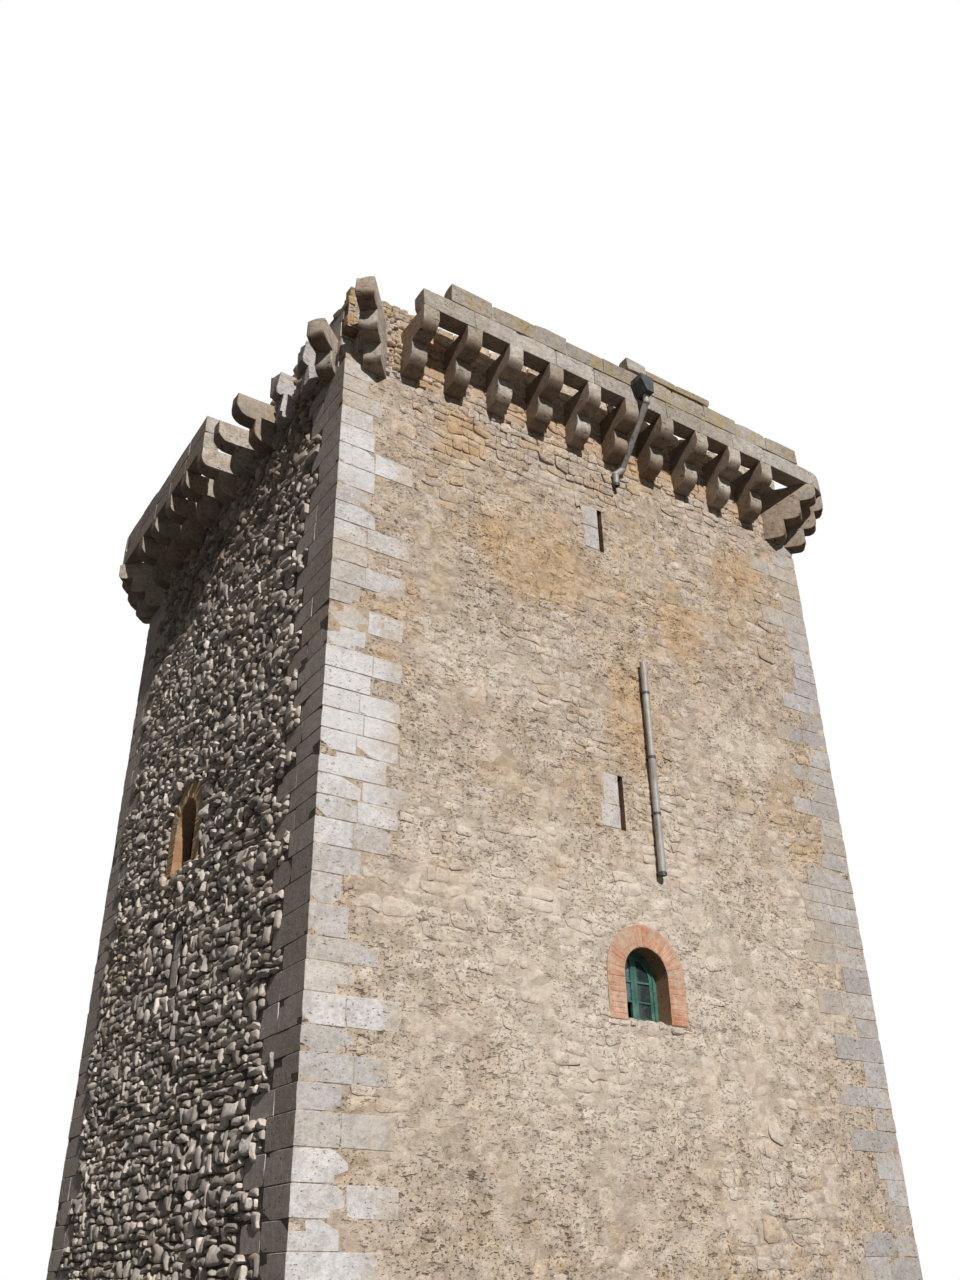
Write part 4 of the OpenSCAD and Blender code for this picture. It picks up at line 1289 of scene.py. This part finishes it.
FRONT_RUBBLE = Rubble(cell=0.105, runs=(1, 2, 2, 2, 3, 4), tall=0.16, joint=0.006, corner=17.0,
                       relief=(-0.019, 0.004), tilt=0.06, steps=((0.012, 0.005), (0.018, 0.002)), rough=0.010,
                      sink=0.020, rows=2, crease=40, crown=0.026)
SIDE_RUBBLE = Rubble(cell=0.105, runs=(1, 1, 2, 2, 3), tall=0.24, joint=0.013, corner=20.0,
                     relief=(0.000, 0.058), tilt=0.24, steps=((0.011, 0.014), (0.016, 0.008)), rough=0.020,
                     sink=0.0, rows=3, crease=45)
PLAIN_RUBBLE = Rubble(cell=0.14, runs=(1, 2, 2, 3, 3), tall=0.15, joint=0.008, corner=24.0,
                      relief=(-0.004, 0.016), tilt=0.08, steps=((0.018, 0.007),), rough=0.009, sink=0.016,
                      rows=2, crease=40)

front_stone = stone_material(FRONT_STONE, FRONT_STAINS, FRONT_WASHES)
side_stone = stone_material(SIDE_STONE)
ashlar = stone_material(ASHLAR, CORNER_STAINS, CORNER_WASHES)
grey_ashlar = stone_material(GREY_ASHLAR, CORNER_STAINS)
lichened_stone = stone_material(LICHENED)
bed_stone = stone_material(BED_STONE)
corbel_stone = stone_material(CORBEL_STONE)
parapet_stone = stone_material(PARAPET_STONE)
parapet_top = stone_material(PARAPET_TOP)
front_mortar = stone_material(FRONT_MORTAR, FRONT_STAINS, FRONT_WASHES)
# Mortar of the corner piers, darker on their west faces: painted shade
corner_mortar_shaded_west = stone_material(FRONT_MORTAR._replace(name="corner_lime_mortar_shaded_west"), FRONT_STAINS, FRONT_WASHES,
                               west=SHADED_SIDE_MORTAR)
shaded_side_mortar = stone_material(SHADED_SIDE_MORTAR)
ochre_plaster = stone_material(OCHRE_PLASTER)
paving_stone = stone_material(PAVING)
brick = stone_material(BRICK)
brick_mortar = stone_material(BRICK_MORTAR)
green_paint = painted_wood()
glass = old_glass()
pipe_metal = weathered_metal("grey_pipe_metal", srgb(176, 172, 168), srgb(152, 148, 146), srgb(110, 104, 98),
                             0.06, metallic=0.15)
dark_metal = weathered_metal("dark_sheet_metal", srgb(84, 86, 88), srgb(58, 60, 63), srgb(40, 38, 36), 0.1)

NODE_MATERIALS = {
    front_mortar: ("front_wall", "north_wall", "east_wall", "sw_broken_masonry"),
    shaded_side_mortar: ("west_wall",), corner_mortar_shaded_west: ("corner_pier",),
    brick_mortar: ("front_window_bricks",), ochre_plaster: ("west_window_bricks",),
    green_paint: ("front_window_frame", "front_window_left_leaf", "front_window_right_leaf"),
    glass: ("front_window_glass",), dark_metal: ("rainwater_head", "drainpipe_clamps"),
    pipe_metal: ("upper_drainpipe", "lower_drainpipe"),
    paving_stone: ("ground_floor", "first_floor", "second_floor", "third_floor", "roof_terrace"),
}


def dress_nodes():
    """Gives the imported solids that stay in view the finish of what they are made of."""
    for name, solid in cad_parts.items():
        for material, starts in NODE_MATERIALS.items():
            if name.startswith(starts):
                for place in solid.material_slots:
                    place.material = material


def build_walls():
    half_height = COURSES[len(COURSES) // 2]
    for side, name, material, slot, spec, seed, ends in (
            (FRONT, "front_rubble", front_stone, "rubble", FRONT_RUBBLE, 5, {}),
            (WEST, "west_rubble_low", side_stone, "side_rubble", SIDE_RUBBLE, 6, {"top": half_height}),
            (WEST, "west_rubble_high", side_stone, "side_rubble", SIDE_RUBBLE, 6, {"foot": half_height}),
            (NORTH, "north_rubble", front_stone, "rubble", PLAIN_RUBBLE, 7, {}),
            (EAST, "east_rubble", front_stone, "rubble", PLAIN_RUBBLE, 8, {})):
        piece(name, material, slot, seed, rubble_skin, side, spec, seed, home=onto(side),
              crease=spec.crease, **ends)
    for seed, corner in enumerate(CORNERS, 20):
        piece("corner_stones_" + corner.name, grey_ashlar if corner.name == "se" else ashlar, "ashlar",
              seed, corner_stones, corner, home=at_corner(corner.side))
    piece("corner_tip_stones", lichened_stone, "ashlar", 24, tip_stones, home=at_corner(FRONT))
    for seed, side in enumerate(SIDES, 30):
        material, slot = (side_stone, "side_rubble") if side is WEST else (ashlar, "rubble")
        piece(side.name + "_slit_stones", material, slot, seed, slit_stones, side, home=onto(side))


def build_corbels():
    for seed, side in enumerate((FRONT, NORTH, EAST), 40):
        name = side.name + "_corbels"
        piece(name + "_stones", corbel_stone, "corbel_stone", seed, wall_corbels, side,
              range(CORBEL_COUNT[side.name]), nodes=[name])
    last = CORBEL_COUNT["west"] - 1
    piece("west_corbels_stones", corbel_stone, "corbel_stone", 44, wall_corbels, WEST,
          range(last + 1 - BROKEN_CORBELS), nodes=["west_corbels"])
    stumps = [(LOWER_REACH * (0.45 + 0.2 * k), LOWER_REACH * (0.75 + 0.2 * k)) for k in range(BROKEN_CORBELS)]
    piece("west_corbel_stumps", ashlar, "corbel_stone", 45, wall_corbels, WEST,
          [last - k for k in range(BROKEN_CORBELS)], stumps, nodes=["west_broken_corbels"],
          wear=0.04, radius=0.09)
    for seed, corner in enumerate(CORNERS, 50):
        piece("corner_fan_" + corner.name, corbel_stone, "corbel_stone", seed, corner_corbels, corner,
              corner.name == "sw", nodes=["corner_corbels_" + corner.name])
    piece("front_corbel_beds", bed_stone, "rubble", 55, bed_stones, FRONT, home=onto(FRONT))


def span(name, side):
    """Ends of a straight length of parapet along its face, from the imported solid."""
    low, high = (onto(side).inverted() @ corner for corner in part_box(name))
    return min(low.x, high.x), max(low.x, high.x)


def parapet_piece(name, material, seed, draw, courses, **more):
    piece(name + "_stones", material, "parapet_stone", seed, draw, courses, nodes=[name], **more)


THIRD_LUMP = 0.46        # length of the whole block of the third course


def build_parapet():
    lintel_h, second_h = SECOND_Z - LINTEL_Z, THIRD_Z - SECOND_Z
    third_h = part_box("front_parapet_third_course")[1].z - THIRD_Z
    for name, material, seed, foot, height, ragged in (
            ("front_parapet_lintels", parapet_stone, 60, LINTEL_Z, lintel_h, 0.01),
            ("front_parapet_second_course", parapet_top, 61, SECOND_Z, second_h, 0.09)):
        courses = [(FRONT, *span(name, FRONT), foot, height, ragged)]
        parapet_piece(name, material, seed, parapet_lengths, courses)
    name = "front_parapet_third_course"
    left, right = span(name, FRONT)
    courses = [(FRONT, left, left + THIRD_LUMP, THIRD_Z, third_h, 0.04),
               (FRONT, left + THIRD_LUMP, right, THIRD_Z, third_h * 0.7, 0.06)]
    parapet_piece(name, parapet_top, 62, parapet_lengths, courses)
    for seed, side in enumerate((EAST, NORTH, WEST), 64):
        name = side.name + "_parapet"
        ends = span(name, side)
        courses = [(side, *ends, LINTEL_Z, lintel_h, 0.01), (side, *ends, SECOND_Z, second_h, 0.07)]
        parapet_piece(name, parapet_stone, seed, parapet_lengths, courses)
    whole = [(LINTEL_Z, lintel_h), (SECOND_Z, second_h)]
    for seed, (corner, courses) in enumerate(zip(CORNERS[1:], (whole[:1], whole, whole)), 70):
        parapet_piece("parapet_corner_" + corner.name, parapet_stone, seed, parapet_bends, courses,
                      home=at_corner(corner.side))


def build_tops():
    broken = [(FRONT, -HALF_X + 0.2, -HALF_X + 1.35, 0.18), (FRONT, -HALF_X + 0.5, -HALF_X + 1.25, 0.24)]
    piece("sw_broken_stones", lichened_stone, "rubble", 80, broken_top, broken, nodes=["sw_broken_masonry"])
    piece("sw_ragged_face", front_stone, "rubble", 84, ragged_face)
    piece("west_broken_top", side_stone, "rubble", 81, broken_top, [(WEST, 0.15, HALF_Y - 0.5, 0.07)],
          full=0.5)
    whole = [(EAST, -HALF_Y + 0.2, HALF_Y - 0.2, 0.06), (NORTH, -HALF_X + 0.2, HALF_X - 0.2, 0.06),
             (WEST, -HALF_Y + 0.2, 0.15, 0.06)]
    piece("wall_top_stones", front_stone, "rubble", 83, broken_top, whole)
    piece("front_wall_kerb", front_stone, "rubble", 85, wall_kerb, -HALF_X + 1.3, HALF_X - 0.1,
          home=onto(FRONT))
    piece("terrace_paving", paving_stone, "floor_stone", 82, paving)


def build_windows():
    windows = ((FRONT, FRONT_WINDOW, FRONT_RING), (WEST, SIDE_WINDOW, SIDE_RING))
    for seed, (side, window, ring), material in zip((90, 91), windows, (brick, ochre_plaster)):
        piece(side.name + "_window_ring", material, "brick", seed, brick_surround, window, ring,
              home=onto(side))
    for seed, (side, window, ring), material in zip((92, 93), windows, (front_stone, ochre_plaster)):
        piece(side.name + "_window_sill", material, "rubble", seed, sill_stones, side, window, ring)


dress_nodes()
build_walls()
build_corbels()
build_parapet()
build_tops()
build_windows()
make_studio()
